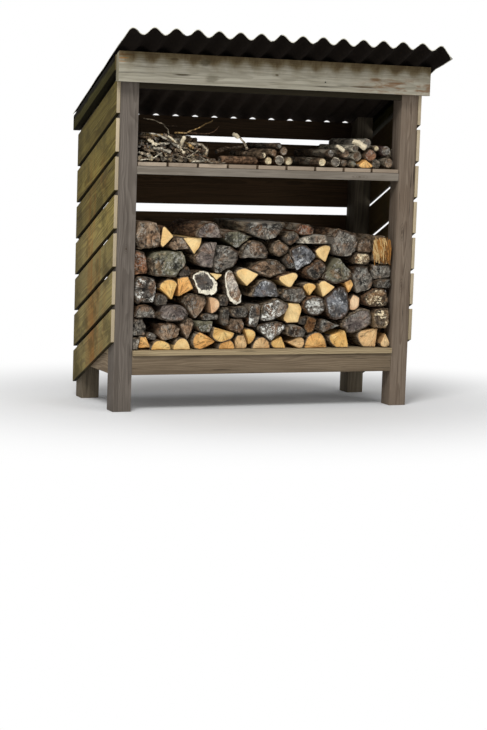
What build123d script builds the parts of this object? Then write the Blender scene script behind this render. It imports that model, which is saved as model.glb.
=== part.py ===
from build123d import *
import math
import os

# Open-fronted log store with a sloping corrugated roof, a floor, one shelf and its split firewood.
# Millimetres, +Z up, +X to the right and -Y to the front of the store. The origin is on the ground
# at the middle of the space that the roof sheet covers.

# Posts and overall sizes
store_width = 1524.0
store_depth = 568.0
post_size = 89.0
roof_pitch_deg = 24.13
front_height = 1628.0

# Roof sheet and what carries it
sheet_side_overhang_left = 38.0
sheet_side_overhang_right = 61.0
sheet_front_overhang = 215.0
sheet_back_overhang = 32.0
sheet_thickness = 3.0
corrugation_pitch = 103.3
corrugation_depth = 32.0
first_crest = 14.0
steps_per_corrugation = 10
rake_thickness = 38.0
rake_height = 70.0
rake_back_overhang = 22.0
rake_front_reach = 20.0
header_thickness = 38.0
header_height = 138.0
header_overhang = 32.0
beam_thickness = 38.0
beam_height = 136.0
beam_setback = 3.0

# Side walls
side_board_thickness = 19.0
side_board_height = 153.0
side_board_gap = 22.0
side_wall_drop = 99.0
side_wall_base = 300.0

# Back wall
back_board_thickness = 19.0
back_board_height = 144.0
back_board_gaps = [27.0, 23.5, 40.0, 26.0]
back_wall_base = 230.0
back_beam_height = 84.0
back_beam_thickness = 22.0

# Floor
rim_height = 89.0
rim_thickness = 38.0
floor_frame_height = 171.0
joist_count = 3
floor_board_thickness = 25.0
floor_board_count = 4
floor_board_gap = 6.0
floor_nosing = 10.0

# Shelf
shelf_rail_height = 38.0
shelf_rail_depth = 89.0
shelf_drop = 527.0
shelf_board_thickness = 19.0
shelf_board_width = 140.0
shelf_board_count = 9
shelf_edge_gap = 3.0

# Firewood
log_length = 410.0
log_setback = 8.0
log_unevenness = 26.0
stagger_steps = 7
stagger_jump = 3
log_side_space = 2.0
log_press = 1.1

# Fits
seat = 0.3
fit = 0.5

# Each split log as the form of its end, its middle across the bay and above the floor, its width
# and height before it is turned, and its turn in degrees. The lengths are for a bay of the sizes
# below. Courses run from the floor up, and the logs of a course from left to right.
plan_bay_width = 1346.0
plan_bay_height = 815.7
log_plan = {
    "log_course_1": [
        ("block", 22, 33, 50, 64, 0), ("wedge", 65, 31, 63, 72, 60), ("block", 107, 62, 52, 32, 0),
        ("half", 146, 24, 105, 49, 0), ("block", 188, 86, 112, 80, 10), ("half", 250, 30, 81, 56, 0),
        ("wedge", 368, 38, 85, 117, 90), ("half", 448, 70, 128, 82, 165), ("half", 481, 24, 84, 50, 0),
        ("block", 560, 33, 67, 66, 0), ("half", 600, 66, 76, 56, -70), ("half", 664, 28, 94, 57, 0),
        ("wedge", 704, 84, 157, 94, 0), ("wedge", 753, 28, 84, 64, 160), ("block", 835, 84, 104, 64, 0),
        ("wedge", 842, 29, 60, 84, -90), ("half", 951, 40, 118, 82, 0), ("wedge", 1077, 46, 118, 92, 150),
        ("wedge", 1240, 52, 122, 112, 135), ("wedge", 1318, 34, 54, 68, 180),
    ],
    "log_course_2": [
        ("block", 36, 104, 74, 90, 0), ("half", 62, 183, 116, 64, 0), ("block", 208, 169, 148, 82, 0),
        ("wedge", 283, 97, 74, 104, 0), ("half", 371, 106, 108, 60, 180), ("slab", 394, 154, 94, 38, 0),
        ("block", 466, 158, 48, 92, 0), ("block", 530, 110, 90, 80, 0), ("block", 540, 178, 92, 62, 0),
        ("block", 620, 158, 76, 108, 0), ("block", 823, 171, 110, 96, 0), ("block", 871, 131, 46, 44, 0),
        ("round", 918, 113, 82, 86, 0),
        ("wedge", 1006, 110, 62, 128, 90), ("round", 1167, 131, 170, 112, 25),
        ("block", 1290, 150, 92, 108, 0),
    ],
    "log_course_3": [
        ("block", 144, 234, 70, 58, 0), ("wedge", 320, 203, 142, 124, 0), ("half", 407, 213, 84, 62, -80),
        ("block", 462, 228, 50, 60, 0), ("block", 715, 188, 178, 92, 20), ("block", 822, 261, 124, 86, 0),
        ("round", 930, 208, 119, 96, 0), ("round", 1053, 219, 146, 168, 0), ("block", 1150, 219, 60, 72, -20),
        ("round", 1262, 244, 136, 106, 0),
    ],
    "log_course_4": [
        ("block", 66, 281, 128, 138, 0), ("wedge", 178, 281, 88, 98, 15), ("wedge", 256, 297, 92, 100, -30),
        ("round", 354, 313, 146, 112, -35), ("wedge", 412, 359, 100, 72, 0), ("block", 504, 291, 82, 194, 18),
        ("wedge", 574, 345, 116, 84, 0), ("half", 677, 292, 148, 84, 0), ("wedge", 788, 328, 98, 80, 10),
        ("wedge", 903, 285, 68, 62, 0), ("wedge", 983, 287, 92, 76, -20), ("wedge", 1110, 300, 60, 70, 0),
        ("block", 1190, 342, 120, 140, 0), ("block", 1300, 318, 92, 64, 0),
    ],
    "log_course_5": [
        ("block", 40, 408, 78, 128, 0), ("block", 170, 408, 190, 150, 0), ("block", 258, 366, 66, 52, 0),
        ("half", 361, 446, 146, 140, 80), ("half", 467, 436, 138, 140, -75), ("round", 692, 383, 200, 88, 0),
        ("block", 796, 420, 70, 70, 0), ("block", 862, 446, 152, 124, 20), ("round", 931, 382, 114, 103, 0),
        ("wedge", 971, 456, 92, 80, 20), ("wedge", 1040, 382, 164, 134, 180), ("round", 1176, 436, 106, 80, 0),
        ("block", 1287, 378, 116, 106, 0),
    ],
    "log_course_6": [
        ("block", 71, 530, 140, 130, 0), ("wedge", 166, 528, 98, 72, 90), ("block", 232, 494, 96, 70, 0),
        ("wedge", 303, 507, 112, 98, 135), ("half", 376, 556, 154, 92, 0), ("half", 604, 478, 152, 84, 0),
        ("wedge", 520, 516, 182, 92, 0), ("half", 654, 561, 220, 84, 180), ("round", 745, 482, 88, 80, 0),
        ("block", 800, 528, 80, 66, 0), ("block", 868, 570, 104, 58, 0), ("slab", 900, 521, 170, 56, 0),
        ("block", 1085, 507, 152, 120, -10), ("block", 1196, 492, 86, 78, 0), ("block", 1281, 470, 100, 150, 10),
    ],
}

# Sticks and branches on the shelf, each as its middle across the bay and its radius, for a bay of
# the width above. Each is let down until it rests on the shelf or on those that are there already.
shelf_plan = {
    "kindling_lower": [
        (19, 15), (48, 13), (79, 17), (109, 12), (137, 15), (166, 13), (192, 12), (219, 14), (246, 12), (274, 14),
        (306, 16), (337, 14), (364, 12), (390, 13),
    ],
    "kindling_upper": [
        (33, 11), (62, 12), (95, 10), (122, 12), (150, 10), (181, 12), (207, 10), (233, 12), (262, 10), (288, 12),
        (318, 10), (348, 11),
    ],
    "kindling_top": [(47, 11), (79, 9), (108, 11), (137, 9), (166, 11), (195, 9), (222, 10), (250, 9)],
    "shelf_branches_middle": [(660, 21), (722, 26), (775, 23)],
    "shelf_branches_middle_upper": [(632, 17), (690, 20), (747, 24), (716, 15)],
    "shelf_branches_lower": [(940, 23), (1015, 27), (1065, 21), (1108, 20), (1240, 23), (1295, 29)],
    "shelf_branches_upper": [(984, 22), (1066, 24), (1136, 26), (1200, 33), (1286, 28)],
    "shelf_branches_top": [(1112, 19), (1180, 26), (1236, 16)],
}
kindling_length = 370.0
branch_length = 400.0
branch_setback = 12.0
branch_unevenness = 24.0

# A split log among them, as the form of its end, its middle across the bay and above the shelf, its
# width and height, and its turn in degrees
split_log_plan = ("wedge", 1171, 21, 80, 41, 180)
split_log_length = 300.0
split_log_setback = 10.0
edge_steps = 12

# A short dark log that lies along the front of the shelf
dark_log_radius = 20.0
dark_log_length = 190.0
dark_log_middle = 521.0
dark_log_setback = 40.0

# Places worked out from the sizes
roof_rise = math.tan(math.radians(roof_pitch_deg))
sheet_width = sheet_side_overhang_left + store_width + sheet_side_overhang_right
sheet_run = sheet_front_overhang + store_depth + sheet_back_overhang
sheet_left = -sheet_width / 2
sheet_front = -sheet_run / 2
left = sheet_left + sheet_side_overhang_left
right = left + store_width
front = sheet_front + sheet_front_overhang
back = front + store_depth
inner_left = left + post_size
inner_right = right - post_size
bay_width = inner_right - inner_left
floor_top = floor_frame_height + rim_height + seat + floor_board_thickness
shelf_rail_base = front_height - shelf_drop
shelf_top = shelf_rail_base + shelf_rail_height + seat + shelf_board_thickness
bay_height = shelf_rail_base - floor_top
bay_scale = bay_width / plan_bay_width


def roof_seat(y):
    """Height of the sloping plane that the roof sheet rests on."""
    return front_height - (y - front) * roof_rise


def block(x0, x1, y0, y1, z0, z1):
    """A square-cut piece between two corners."""
    return Pos(x0, y0, z0) * Box(x1 - x0, y1 - y0, z1 - z0, align=(Align.MIN, Align.MIN, Align.MIN))


def prism_along_x(outline, x0, x1):
    """A piece with an outline of (y, z) corners between two places along X."""
    wire = Wire.make_polygon([Vector(x0, y, z) for y, z in outline], close=True)
    return Solid.extrude(Face(wire), Vector(x1 - x0, 0, 0))


def prism_along_y(outline, y0, y1):
    """A piece with an outline of (x, z) corners between two places along Y."""
    wire = Wire.make_polygon([Vector(x, y0, z) for x, z in outline], close=True)
    return Solid.extrude(Face(wire), Vector(0, y1 - y0, 0))


def save(name, solids):
    """Write one named sub-part."""
    export_step(Compound(children=list(solids)), f"parts/{name}.step")


def sloped_top_piece(x0, x1, y0, y1, base):
    """A piece whose top is cut to the roof's slope."""
    outline = [(y0, base), (y1, base), (y1, roof_seat(y1)), (y0, roof_seat(y0))]
    return prism_along_x(outline, x0, x1)


def post(x0, y0):
    """A square post that runs from the ground to the roof."""
    return sloped_top_piece(x0, x0 + post_size, y0, y0 + post_size, 0.0)


def posts():
    """The four posts by name."""
    return {
        "front_left_post": post(left, front),
        "front_right_post": post(inner_right, front),
        "back_left_post": post(left, back - post_size),
        "back_right_post": post(inner_right, back - post_size),
    }


def header():
    """The wide board across the front, nailed to the ends of the rake boards."""
    y1 = front - rake_front_reach - seat
    y0 = y1 - header_thickness
    return sloped_top_piece(left - header_overhang, right + header_overhang, y0, y1, roof_seat(y0) - header_height)


def top_beam():
    """The beam between the front posts, behind the header."""
    y0 = front + beam_setback
    y1 = y0 + beam_thickness
    return sloped_top_piece(inner_left + seat, inner_right - seat, y0, y1, roof_seat(y0) - beam_height)


def rake(x0, x1):
    """A sloping board under one side edge of the roof, nailed to the outside of the posts."""
    y0 = front - rake_front_reach
    y1 = back + rake_back_overhang
    outline = [
        (y0, roof_seat(y0) - rake_height), (y1, roof_seat(y1) - rake_height),
        (y1, roof_seat(y1)), (y0, roof_seat(y0)),
    ]
    return prism_along_x(outline, x0, x1)


def roof_sheet():
    """The corrugated sheet, whose troughs rest on the rakes, header and beams."""
    points = round(sheet_width / corrugation_pitch * steps_per_corrugation)

    def wave(x):
        turn = 2 * math.pi * (x - sheet_left - first_crest) / corrugation_pitch
        return corrugation_depth / 2 * (1 + math.cos(turn))

    across = [sheet_left + sheet_width * i / points for i in range(points + 1)]
    y0 = sheet_front
    y1 = sheet_front + sheet_run
    under = [(x, roof_seat(y0) + seat + wave(x)) for x in across]
    outline = under + [(x, z + sheet_thickness) for x, z in reversed(under)]
    wire = Wire.make_polygon([Vector(x, y0, z) for x, z in outline], close=True)
    return Solid.extrude(Face(wire), Vector(0, y1 - y0, roof_seat(y1) - roof_seat(y0)))


def side_boards(x0, x1):
    """The sloping boards of one side wall, from the top one down."""
    boards = []
    pitch = side_board_height + side_board_gap
    count = int((front_height - side_wall_drop - side_wall_base + side_board_gap) / pitch)
    for i in range(count):
        drop = side_wall_drop + i * pitch
        outline = [
            (front, roof_seat(front) - drop - side_board_height), (back, roof_seat(back) - drop - side_board_height),
            (back, roof_seat(back) - drop), (front, roof_seat(front) - drop),
        ]
        boards.append(prism_along_x(outline, x0, x1))
    return boards


def back_boards():
    """The level boards of the back wall, from the top one down."""
    boards = []
    y0 = back + seat
    z1 = roof_seat(back) - back_beam_height - back_board_gaps[0]
    while z1 - back_board_height > back_wall_base:
        boards.append(block(left, right, y0, y0 + back_board_thickness, z1 - back_board_height, z1))
        gap = back_board_gaps[min(len(boards), len(back_board_gaps) - 1)]
        z1 -= back_board_height + gap
    return boards


def back_top_beam():
    """The beam between the back posts, which carries the roof in front of the back wall."""
    base = roof_seat(back) - back_beam_height
    return sloped_top_piece(inner_left + seat, inner_right - seat, back - back_beam_thickness, back, base)


def back_top_board():
    """The top board of the back wall, which the roof rests on."""
    y0 = back + seat
    return sloped_top_piece(left, right, y0, y0 + back_board_thickness, roof_seat(back) - back_beam_height)


def floor_frame():
    """The rims between the posts and the joists between the long rims, by name."""
    z0 = floor_frame_height
    z1 = z0 + rim_height
    rim_left = inner_left + seat
    rim_right = inner_right - seat
    side_front = front + post_size + seat
    side_back = back - post_size - seat
    joist_front = front + rim_thickness + seat
    joist_back = back - rim_thickness - seat
    step = bay_width / (joist_count + 1)
    joists = {}
    for i in range(joist_count):
        x = inner_left + (i + 1) * step
        joist = block(x - rim_thickness / 2, x + rim_thickness / 2, joist_front, joist_back, z0, z1)
        joists[f"floor_joist_{i + 1}"] = [joist]
    return joists | {
        "front_rim": [block(rim_left, rim_right, front, front + rim_thickness, z0, z1)],
        "back_rim": [block(rim_left, rim_right, back - rim_thickness, back, z0, z1)],
        "left_rim": [block(left, left + rim_thickness, side_front, side_back, z0, z1)],
        "right_rim": [block(right - rim_thickness, right, side_front, side_back, z0, z1)],
    }


def floor_boards():
    """The boards along the floor, notched round the posts."""
    boards = []
    y_start = front - floor_nosing
    width = (store_depth + floor_nosing - (floor_board_count - 1) * floor_board_gap) / floor_board_count
    z1 = floor_top
    z0 = z1 - floor_board_thickness
    for i in range(floor_board_count):
        y0 = y_start + i * (width + floor_board_gap)
        board = block(left + seat, right - seat, y0, y0 + width, z0, z1)
        for x0 in (left - fit, inner_right - fit):
            for y_post in (front - fit, back - post_size - fit):
                reach = fit if y_post > front else floor_nosing
                notch_front = y_post if y_post > front else y_post - reach
                notch = block(x0, x0 + post_size + 2 * fit, notch_front, y_post + post_size + 2 * fit, z0 - 1, z1 + 1)
                board = board - notch
        boards.append(board)
    return boards


def shelf_rail(y0):
    """One rail of the shelf, laid flat between two posts."""
    return block(
        inner_left + seat, inner_right - seat, y0, y0 + shelf_rail_depth,
        shelf_rail_base, shelf_rail_base + shelf_rail_height,
    )


def shelf_boards():
    """The shelf's boards, which run from front to back over its rails."""
    boards = []
    z0 = shelf_top - shelf_board_thickness
    free = bay_width - 2 * shelf_edge_gap - shelf_board_width
    for i in range(shelf_board_count):
        x0 = inner_left + shelf_edge_gap + i * free / (shelf_board_count - 1)
        boards.append(block(x0, x0 + shelf_board_width, front, back, z0, shelf_top))
    return boards


def end_form(form, mirrored):
    """The outline of one log's end in a square from -1 to 1, anticlockwise."""
    if form == "round":
        turns = [2 * math.pi * i / 10 for i in range(10)]
        return [(math.cos(turn), math.sin(turn)) for turn in turns]
    bow = [math.pi * i / 6 for i in range(7)]
    if form == "half":
        return [(math.cos(turn), 2 * math.sin(turn) - 1) for turn in bow]
    if form == "wedge":
        return [(math.cos(turn), 0.35 + 0.65 * math.sin(turn)) for turn in bow] + [(0.0, -1.0)]
    if form == "slab":
        corners = [(-0.6, -1.0), (0.7, -1.0), (1.0, 0.0), (0.5, 1.0), (-0.75, 0.9), (-1.0, -0.3)]
    else:
        corners = [(-0.55, -1.0), (0.75, -0.9), (1.0, 0.1), (0.55, 0.95), (-0.65, 1.0), (-1.0, -0.25)]
    if mirrored:
        return [(-x, z) for x, z in reversed(corners)]
    return corners


def placed_end(row, mirrored, base, scale_z):
    """A log's end at its size and turn, in its place across the bay and above what it lies on."""
    form, x, z, width, height, turn_deg = row
    cos = math.cos(math.radians(turn_deg))
    sin = math.sin(math.radians(turn_deg))
    outline = []
    for u, v in end_form(form, mirrored):
        du = u * width / 2 * log_press
        dv = v * height / 2 * log_press
        across = inner_left + (x + du * cos - dv * sin) * bay_scale
        outline.append((across, base + (z + du * sin + dv * cos) * scale_z))
    return cut_outline(outline, 0, -1, -(base + seat))


def cut_outline(outline, nx, nz, limit):
    """The part of a convex outline where nx * x + nz * z stays under a limit."""
    kept = []
    for i, point in enumerate(outline):
        following = outline[(i + 1) % len(outline)]
        here = nx * point[0] + nz * point[1] - limit
        there = nx * following[0] + nz * following[1] - limit
        if here <= 0:
            kept.append(point)
        if here * there < 0:
            share = here / (here - there)
            x = point[0] + share * (following[0] - point[0])
            z = point[1] + share * (following[1] - point[1])
            kept.append((x, z))
    return kept


def edge_directions(outline):
    """The outward direction of each edge of an anticlockwise outline."""
    directions = []
    for i, (x0, z0) in enumerate(outline):
        x1, z1 = outline[(i + 1) % len(outline)]
        length = math.hypot(x1 - x0, z1 - z0)
        if length > seat:
            directions.append(((z1 - z0) / length, (x0 - x1) / length))
    return directions


def pressed_apart(first, second):
    """Two outlines trimmed along the line on which they overlap least."""
    away = edge_directions(first) + [(-nx, -nz) for nx, nz in edge_directions(second)]
    best = None
    for nx, nz in away:
        far = max(nx * x + nz * z for x, z in first)
        near = min(nx * x + nz * z for x, z in second)
        if best is None or far - near < best[0]:
            best = (far - near, nx, nz, (far + near) / 2)
    overlap, nx, nz, line = best
    if overlap <= -seat:
        return first, second
    first = cut_outline(first, nx, nz, line - seat / 2)
    second = cut_outline(second, -nx, -nz, -line - seat / 2)
    return first, second


def log_outlines():
    """The ends of all the split logs, with their course, trimmed where they press on each other."""
    logs = []
    for course, rows in log_plan.items():
        for i, row in enumerate(rows):
            outline = placed_end(row, i % 2 == 1, floor_top, bay_height / plan_bay_height)
            outline = cut_outline(outline, -1, 0, -(inner_left + log_side_space))
            outline = cut_outline(outline, 1, 0, inner_right - log_side_space)
            logs.append([course, outline])
    for i, first in enumerate(logs):
        for second in logs[i + 1:]:
            first[1], second[1] = pressed_apart(first[1], second[1])
    return logs


def stagger(i):
    """A share from 0 to 1 that jumps about from one piece to the next."""
    return stagger_jump * i % stagger_steps / (stagger_steps - 1)


def log_courses():
    """The split logs of each course, by node name. Their ends don't line up."""
    courses = {course: [] for course in log_plan}
    for i, (course, outline) in enumerate(log_outlines()):
        y0 = front + log_setback + log_unevenness * stagger(i)
        courses[course].append(prism_along_y(outline, y0, y0 + log_length))
    return courses


def points_round(outline):
    """Points along the edges of an outline, as rounds of no size that others may rest on."""
    points = []
    for (x0, z0), (x1, z1) in zip(outline, outline[1:] + outline[:1]):
        for i in range(edge_steps):
            share = i / edge_steps
            points.append((x0 + (x1 - x0) * share, z0 + (z1 - z0) * share, 0.0))
    return points


def let_down(plan, there):
    """The middles of rounds that rest on the shelf or on rounds there already, which they join."""
    placed = []
    for plan_x, plan_radius in plan:
        x = inner_left + plan_x * bay_scale
        radius = plan_radius * bay_scale
        z = shelf_top + seat + radius
        for other_x, other_z, other_radius in there:
            reach = radius + other_radius + seat
            if abs(x - other_x) < reach:
                z = max(z, other_z + math.sqrt(reach ** 2 - (x - other_x) ** 2))
        there.append((x, z, radius))
        placed.append((x, z, radius))
    return placed


def rounds(row, length):
    """Branches of one row, which lie from front to back. Their ends don't line up."""
    solids = []
    for i, (x, z, radius) in enumerate(row):
        y = front + branch_setback + branch_unevenness * stagger(i) + length / 2
        solids.append(Pos(x, y, z) * Rot(90, 0, 0) * Cylinder(radius, length))
    return solids


def dark_log():
    """The short log that lies along the front of the shelf."""
    radius = dark_log_radius * bay_scale
    x = inner_left + dark_log_middle * bay_scale
    y = front + dark_log_setback + radius
    return Pos(x, y, shelf_top + seat + radius) * Rot(0, 90, 0) * Cylinder(radius, dark_log_length * bay_scale)


def shelf_load():
    """What lies on the shelf, by node name."""
    outline = placed_end(split_log_plan, False, shelf_top, bay_scale)
    y0 = front + split_log_setback
    load = {"shelf_split_log": [prism_along_y(outline, y0, y0 + split_log_length)], "shelf_log": [dark_log()]}
    there = points_round(outline)
    for name, plan in shelf_plan.items():
        length = kindling_length if name.startswith("kindling") else branch_length
        load[name] = rounds(let_down(plan, there), length)
    return load


def build():
    """Make every sub-part and write its file."""
    os.makedirs("parts", exist_ok=True)
    for name, solid in posts().items():
        save(name, [solid])
    save("front_header", [header()])
    save("front_top_beam", [top_beam()])
    save("left_rake", [rake(left - rake_thickness, left - seat)])
    save("right_rake", [rake(right + seat, right + rake_thickness)])
    save("roof_sheet", [roof_sheet()])
    save("left_wall_boards", side_boards(left - side_board_thickness, left - seat))
    save("right_wall_boards", side_boards(right + seat, right + side_board_thickness))
    save("back_top_board", [back_top_board()])
    save("back_top_beam", [back_top_beam()])
    save("back_wall_boards", back_boards())
    for name, solids in floor_frame().items():
        save(name, solids)
    save("floor_boards", floor_boards())
    save("front_shelf_rail", [shelf_rail(front)])
    save("back_shelf_rail", [shelf_rail(back - shelf_rail_depth)])
    save("shelf_boards", shelf_boards())
    for name, solids in log_courses().items():
        save(name, solids)
    for name, solids in shelf_load().items():
        save(name, solids)


build()
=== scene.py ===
import math
import random

import bmesh
import bpy
from mathutils import Matrix, Vector, noise


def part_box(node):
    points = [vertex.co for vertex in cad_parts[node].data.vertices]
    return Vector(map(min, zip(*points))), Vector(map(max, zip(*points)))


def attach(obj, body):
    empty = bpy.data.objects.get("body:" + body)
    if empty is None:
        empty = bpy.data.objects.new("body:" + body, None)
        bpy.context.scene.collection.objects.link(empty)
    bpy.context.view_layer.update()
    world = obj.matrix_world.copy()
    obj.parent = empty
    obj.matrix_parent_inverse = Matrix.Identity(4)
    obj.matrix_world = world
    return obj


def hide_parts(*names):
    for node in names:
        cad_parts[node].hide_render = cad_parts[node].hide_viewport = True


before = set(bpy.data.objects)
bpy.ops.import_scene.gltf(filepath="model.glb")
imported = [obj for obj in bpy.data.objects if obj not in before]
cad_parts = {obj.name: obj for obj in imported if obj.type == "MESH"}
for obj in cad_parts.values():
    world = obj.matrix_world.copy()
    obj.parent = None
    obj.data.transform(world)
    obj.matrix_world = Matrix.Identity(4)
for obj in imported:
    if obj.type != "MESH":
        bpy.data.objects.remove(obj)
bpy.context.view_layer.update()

# The photograph's view: the place of the camera in metres, its turns in radians and its lens
CAMERA_PLACE = Vector((-3.5082, -8.2584, 1.2291))
CAMERA_YAW = 0.3973
CAMERA_PITCH = 0.1158
CAMERA_ROLL = 0.0336
FOCAL_PIXELS = 1850.65
PHOTO_WIDTH = 487
PHOTO_HEIGHT = 730
SENSOR = 36.0

# The floor is plain out to one distance from the store and white beyond another. Its fade is wider
# across the store than behind it.
FLOOR_FADE_START = 0.6
FLOOR_FADE_END = 1.9
FLOOR_NARROWING = 0.8
FLOOR_HALF_WIDTH = 8
FLOOR_DARK = (0.88, 0.88, 0.88, 1)
FLOOR_LIGHT = (0.91, 0.91, 0.91, 1)
WHITE = (1, 1, 1, 1)
SKY_COLOUR = (0.98, 0.99, 1.0, 1)
SKY_STRENGTH = 0.42
VIEW_RAYS = ("Camera", "Glossy", "Transmission")
LAMP_TARGET = Vector((0, 0, 0.8))

# Corners of a solid that are closer than this are one, and faces that turn by less than this too
SAME_POINT = 0.00002
SAME_FACE = math.radians(1)

# Boards: how far and in how many steps their edges are eased, how far apart the sections along them
# are, and how much and how quickly they warp
EASED_EDGE = 0.0022
EDGE_STEPS = 2
BOARD_SECTION = 0.07
BOARD_WARP = 0.0012
WARP_WAVES = 3.1
BOARD_SMOOTH_DEG = 40

# The cosines that tell a board's sides and ends, and how close points have to be to join in a section
SIDE_FACE = 0.5
END_FACE = 0.6
CUT_JOIN = 0.0002

# Each board is cut from a long trunk: how long it is, and how far off its heart lies
GRAIN_LENGTH = 50
PITH_ACROSS = 0.05
PITH_DEPTHS = (0.035, 0.11)

# Marks of the header: how far along it, how far above its foot, half their length and height, how
# strong they are and their colour on screen
HEADER_MARKS = {
    "long_check": (0.302, 0.042, 0.050, 0.0050, 0.95, (62, 54, 40)),
    "upper_feather": (0.418, 0.104, 0.034, 0.022, 0.75, (72, 64, 44)),
    "lower_feather": (0.452, 0.032, 0.040, 0.024, 0.55, (92, 86, 68)),
    "small_knot": (0.778, 0.063, 0.012, 0.007, 0.85, (86, 76, 54)),
    "upper_knot": (0.268, 0.112, 0.026, 0.007, 0.75, (72, 60, 40)),
    "nail": (1.028, 0.041, 0.0045, 0.0035, 1.0, (18, 18, 16)),
    "rusty_knot": (1.292, 0.066, 0.032, 0.013, 0.80, (108, 82, 54)),
    "rusty_check": (1.225, 0.028, 0.070, 0.0060, 0.85, (76, 60, 40)),
    "rusty_streak": (1.400, 0.052, 0.060, 0.0060, 0.75, (110, 78, 50)),
    "orange_stripe": (0.016, 0.106, 0.034, 0.0035, 0.80, (140, 98, 50)),
    "orange_foot_stripe": (0.012, 0.090, 0.026, 0.0028, 0.75, (146, 104, 56)),
    "brown_stripe": (0.020, 0.122, 0.050, 0.0060, 0.80, (84, 62, 36)),
}

# The height of a rake board, square to the ground
RAKE_HEIGHT = 0.070

# Knots on the posts and the shelf rail: where the photograph shows them, in pixels, and half the
# width and height of the grain that bends round them, in metres
FRONT_KNOTS = {
    "left_post": (126, 249, 0.014, 0.024),
    "right_post": (402, 232, 0.014, 0.050),
    "right_post_low": (401, 286, 0.012, 0.040),
    "rail": (360, 177, 0.045, 0.011),
}

# Roof sheet, as the frame's sheet has it
CORRUGATION_PITCH = 0.1033
CORRUGATION_DEPTH = 0.032
FIRST_CREST = 0.014
SHEET_THICKNESS = 0.003
STEPS_PER_CORRUGATION = 20
STEPS_DOWN_SLOPE = 40
SHEET_SMOOTH_DEG = 60

# How the sheet hangs at its free edges and corners, and how worn and uneven it is
CORNER_SAG = 0.028
CORNER_SAG_WIDTH = 0.13
LEFT_CORNER_SAG = 0.006
LEFT_EDGE_SAG = 0.012
LEFT_FREE_WIDTH = 0.03
SIDE_SAG = 0.008
SIDE_FREE_WIDTH = 0.022
FRONT_WAVES = 5.0
FRONT_RIPPLE = 0.004
SIDE_WAVES = 9.0
SIDE_RIPPLE = 0.009
FREE_BEND = 0.8
UNEVEN_SHEET = 0.0016
UNEVEN_WAVES = (3.0, 2.5)
WORN_SHEET = 0.9
WORN_WAVE = 0.975
NICK_DEPTH = 0.003
NICK_WAVES = 40.0

# Meshes of the logs: their sides, the sections along them as shares of the length, and the rings of
# an end as shares of its size
LOG_SIDES = 64
BRANCH_SIDES = 22
BRANCH_CORNERS = 18
LOG_SECTIONS = sorted([0.0, 0.012, 0.05, 0.95, 0.988, 1.0] + [i / 13 for i in range(1, 13)])
CAP_RINGS = (0.965, 0.88, 0.74, 0.56, 0.36, 0.17)
LOG_SMOOTH_DEG = 38

# No length counts as less than this
TINY = 1e-6

# Outlines: points this near to the front belong to it, corners are cut by this, and those that turn
# by less than this are part of an arc
FRONT_FACE = 0.0005
LOG_CORNER = 0.0025
ARC_TURN = math.radians(52)

# How far the heart is from the middle, as a share of the way to the edge, and how far inside it has
# to be for bark all the way round. Otherwise bark is on what is far enough away from it.
PITH_REACH = {"wedge": 1.0, "half": 0.9, "block": 1.15, "slab": 1.4, "round": 0.12, "plank": 6.0}
PITH_INSIDE = 0.55
BARK_FROM = 0.80

# Fresh split logs are smoother than aged ones, and their sides are darker than their ends
SPLIT_ROUGH = 0.5
AGED_ROUGH = 1.7
SPLIT_SIDE_TONE = 0.62
AGED_SIDE_TONE = 0.95

# Lumps of the sides: how many waves a metre has across and along, and their size as a share of the
# log's. A finer layer repeats them. Thin places of the log follow slow waves of their own.
LUMP_WAVES = (26, 5)
LUMP_SIZE = 0.055
FINE_LUMPS = 2.7
FINE_LUMP_SIZE = 0.030
BARK_WAVES = (110, 16)
BARK_LUMP_SIZE = 0.030
SPLIT_LUMPS = 0.3
LUMP_SINK = 0.02
THIN_LEAST = 0.012
THIN_MORE = 0.02
THIN_WAVES = 2.2

# Ends: how they tilt, how far their edge is cut back, chipped and set in, and how deep they are. Tilt
# and chips fade out over one part in so many of the log, and the edge's rise over that of the end.
TILTS_ACROSS = (-0.09, 0.09)
TILTS_UP = (-0.07, 0.05)
END_FADE = 8
CUT_EDGE = 0.0022
CHIP_DEPTH = 0.004
CHIP_WAVES = 45
SET_IN = 0.003
EDGE_RISE = 0.0016
SPLIT_DISH = 0.0015
AGED_DISH = 0.005
DISH_WAVES = 60
FINE_DISH_WAVES = 150
TIP_DEPTH = 0.002

# Each log starts elsewhere in the noise
NOISE_SPAN = 90
SHIFT_SPAN = 40

# What the mesh of the logs keeps for each point
COLOUR_LAYERS = ("heart", "outer", "speck", "marks", "side_colour", "bark_colour")
NUMBER_LAYERS = ("edge", "bark", "mottle", "rim_mark")


# Small helpers

def srgb(red, green, blue):
    """A colour as it shows on screen, from 0 to 255, as a linear colour."""
    def linear(value):
        value /= 255
        return value / 12.92 if value <= 0.04045 else ((value + 0.055) / 1.055) ** 2.4
    return (linear(red), linear(green), linear(blue), 1.0)


def mesh_object(name, verts, faces):
    """An object with a new mesh."""
    mesh = bpy.data.meshes.new(name)
    mesh.from_pydata([tuple(v) for v in verts], [], faces)
    obj = bpy.data.objects.new(name, mesh)
    bpy.context.scene.collection.objects.link(obj)
    return obj


LAYER_FIELDS = {"FLOAT": "value", "FLOAT_VECTOR": "vector", "FLOAT_COLOR": "color"}


def write_layer(obj, kind, name, values):
    """Keep one number, vector or colour for each point of a mesh."""
    layer = obj.data.attributes.new(name, kind, "POINT")
    flat = values if kind == "FLOAT" else [part for value in values for part in value]
    layer.data.foreach_set(LAYER_FIELDS[kind], flat)


def smooth(obj, angle_deg):
    """Shade a mesh smooth, with sharp edges where its faces turn by more than an angle."""
    obj.data.shade_smooth()
    obj.data.set_sharp_from_angle(angle=math.radians(angle_deg))


def noise_at(x, y, z):
    """Smooth noise from -1 to 1 at a place."""
    return noise.noise(Vector((x, y, z)))


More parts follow.
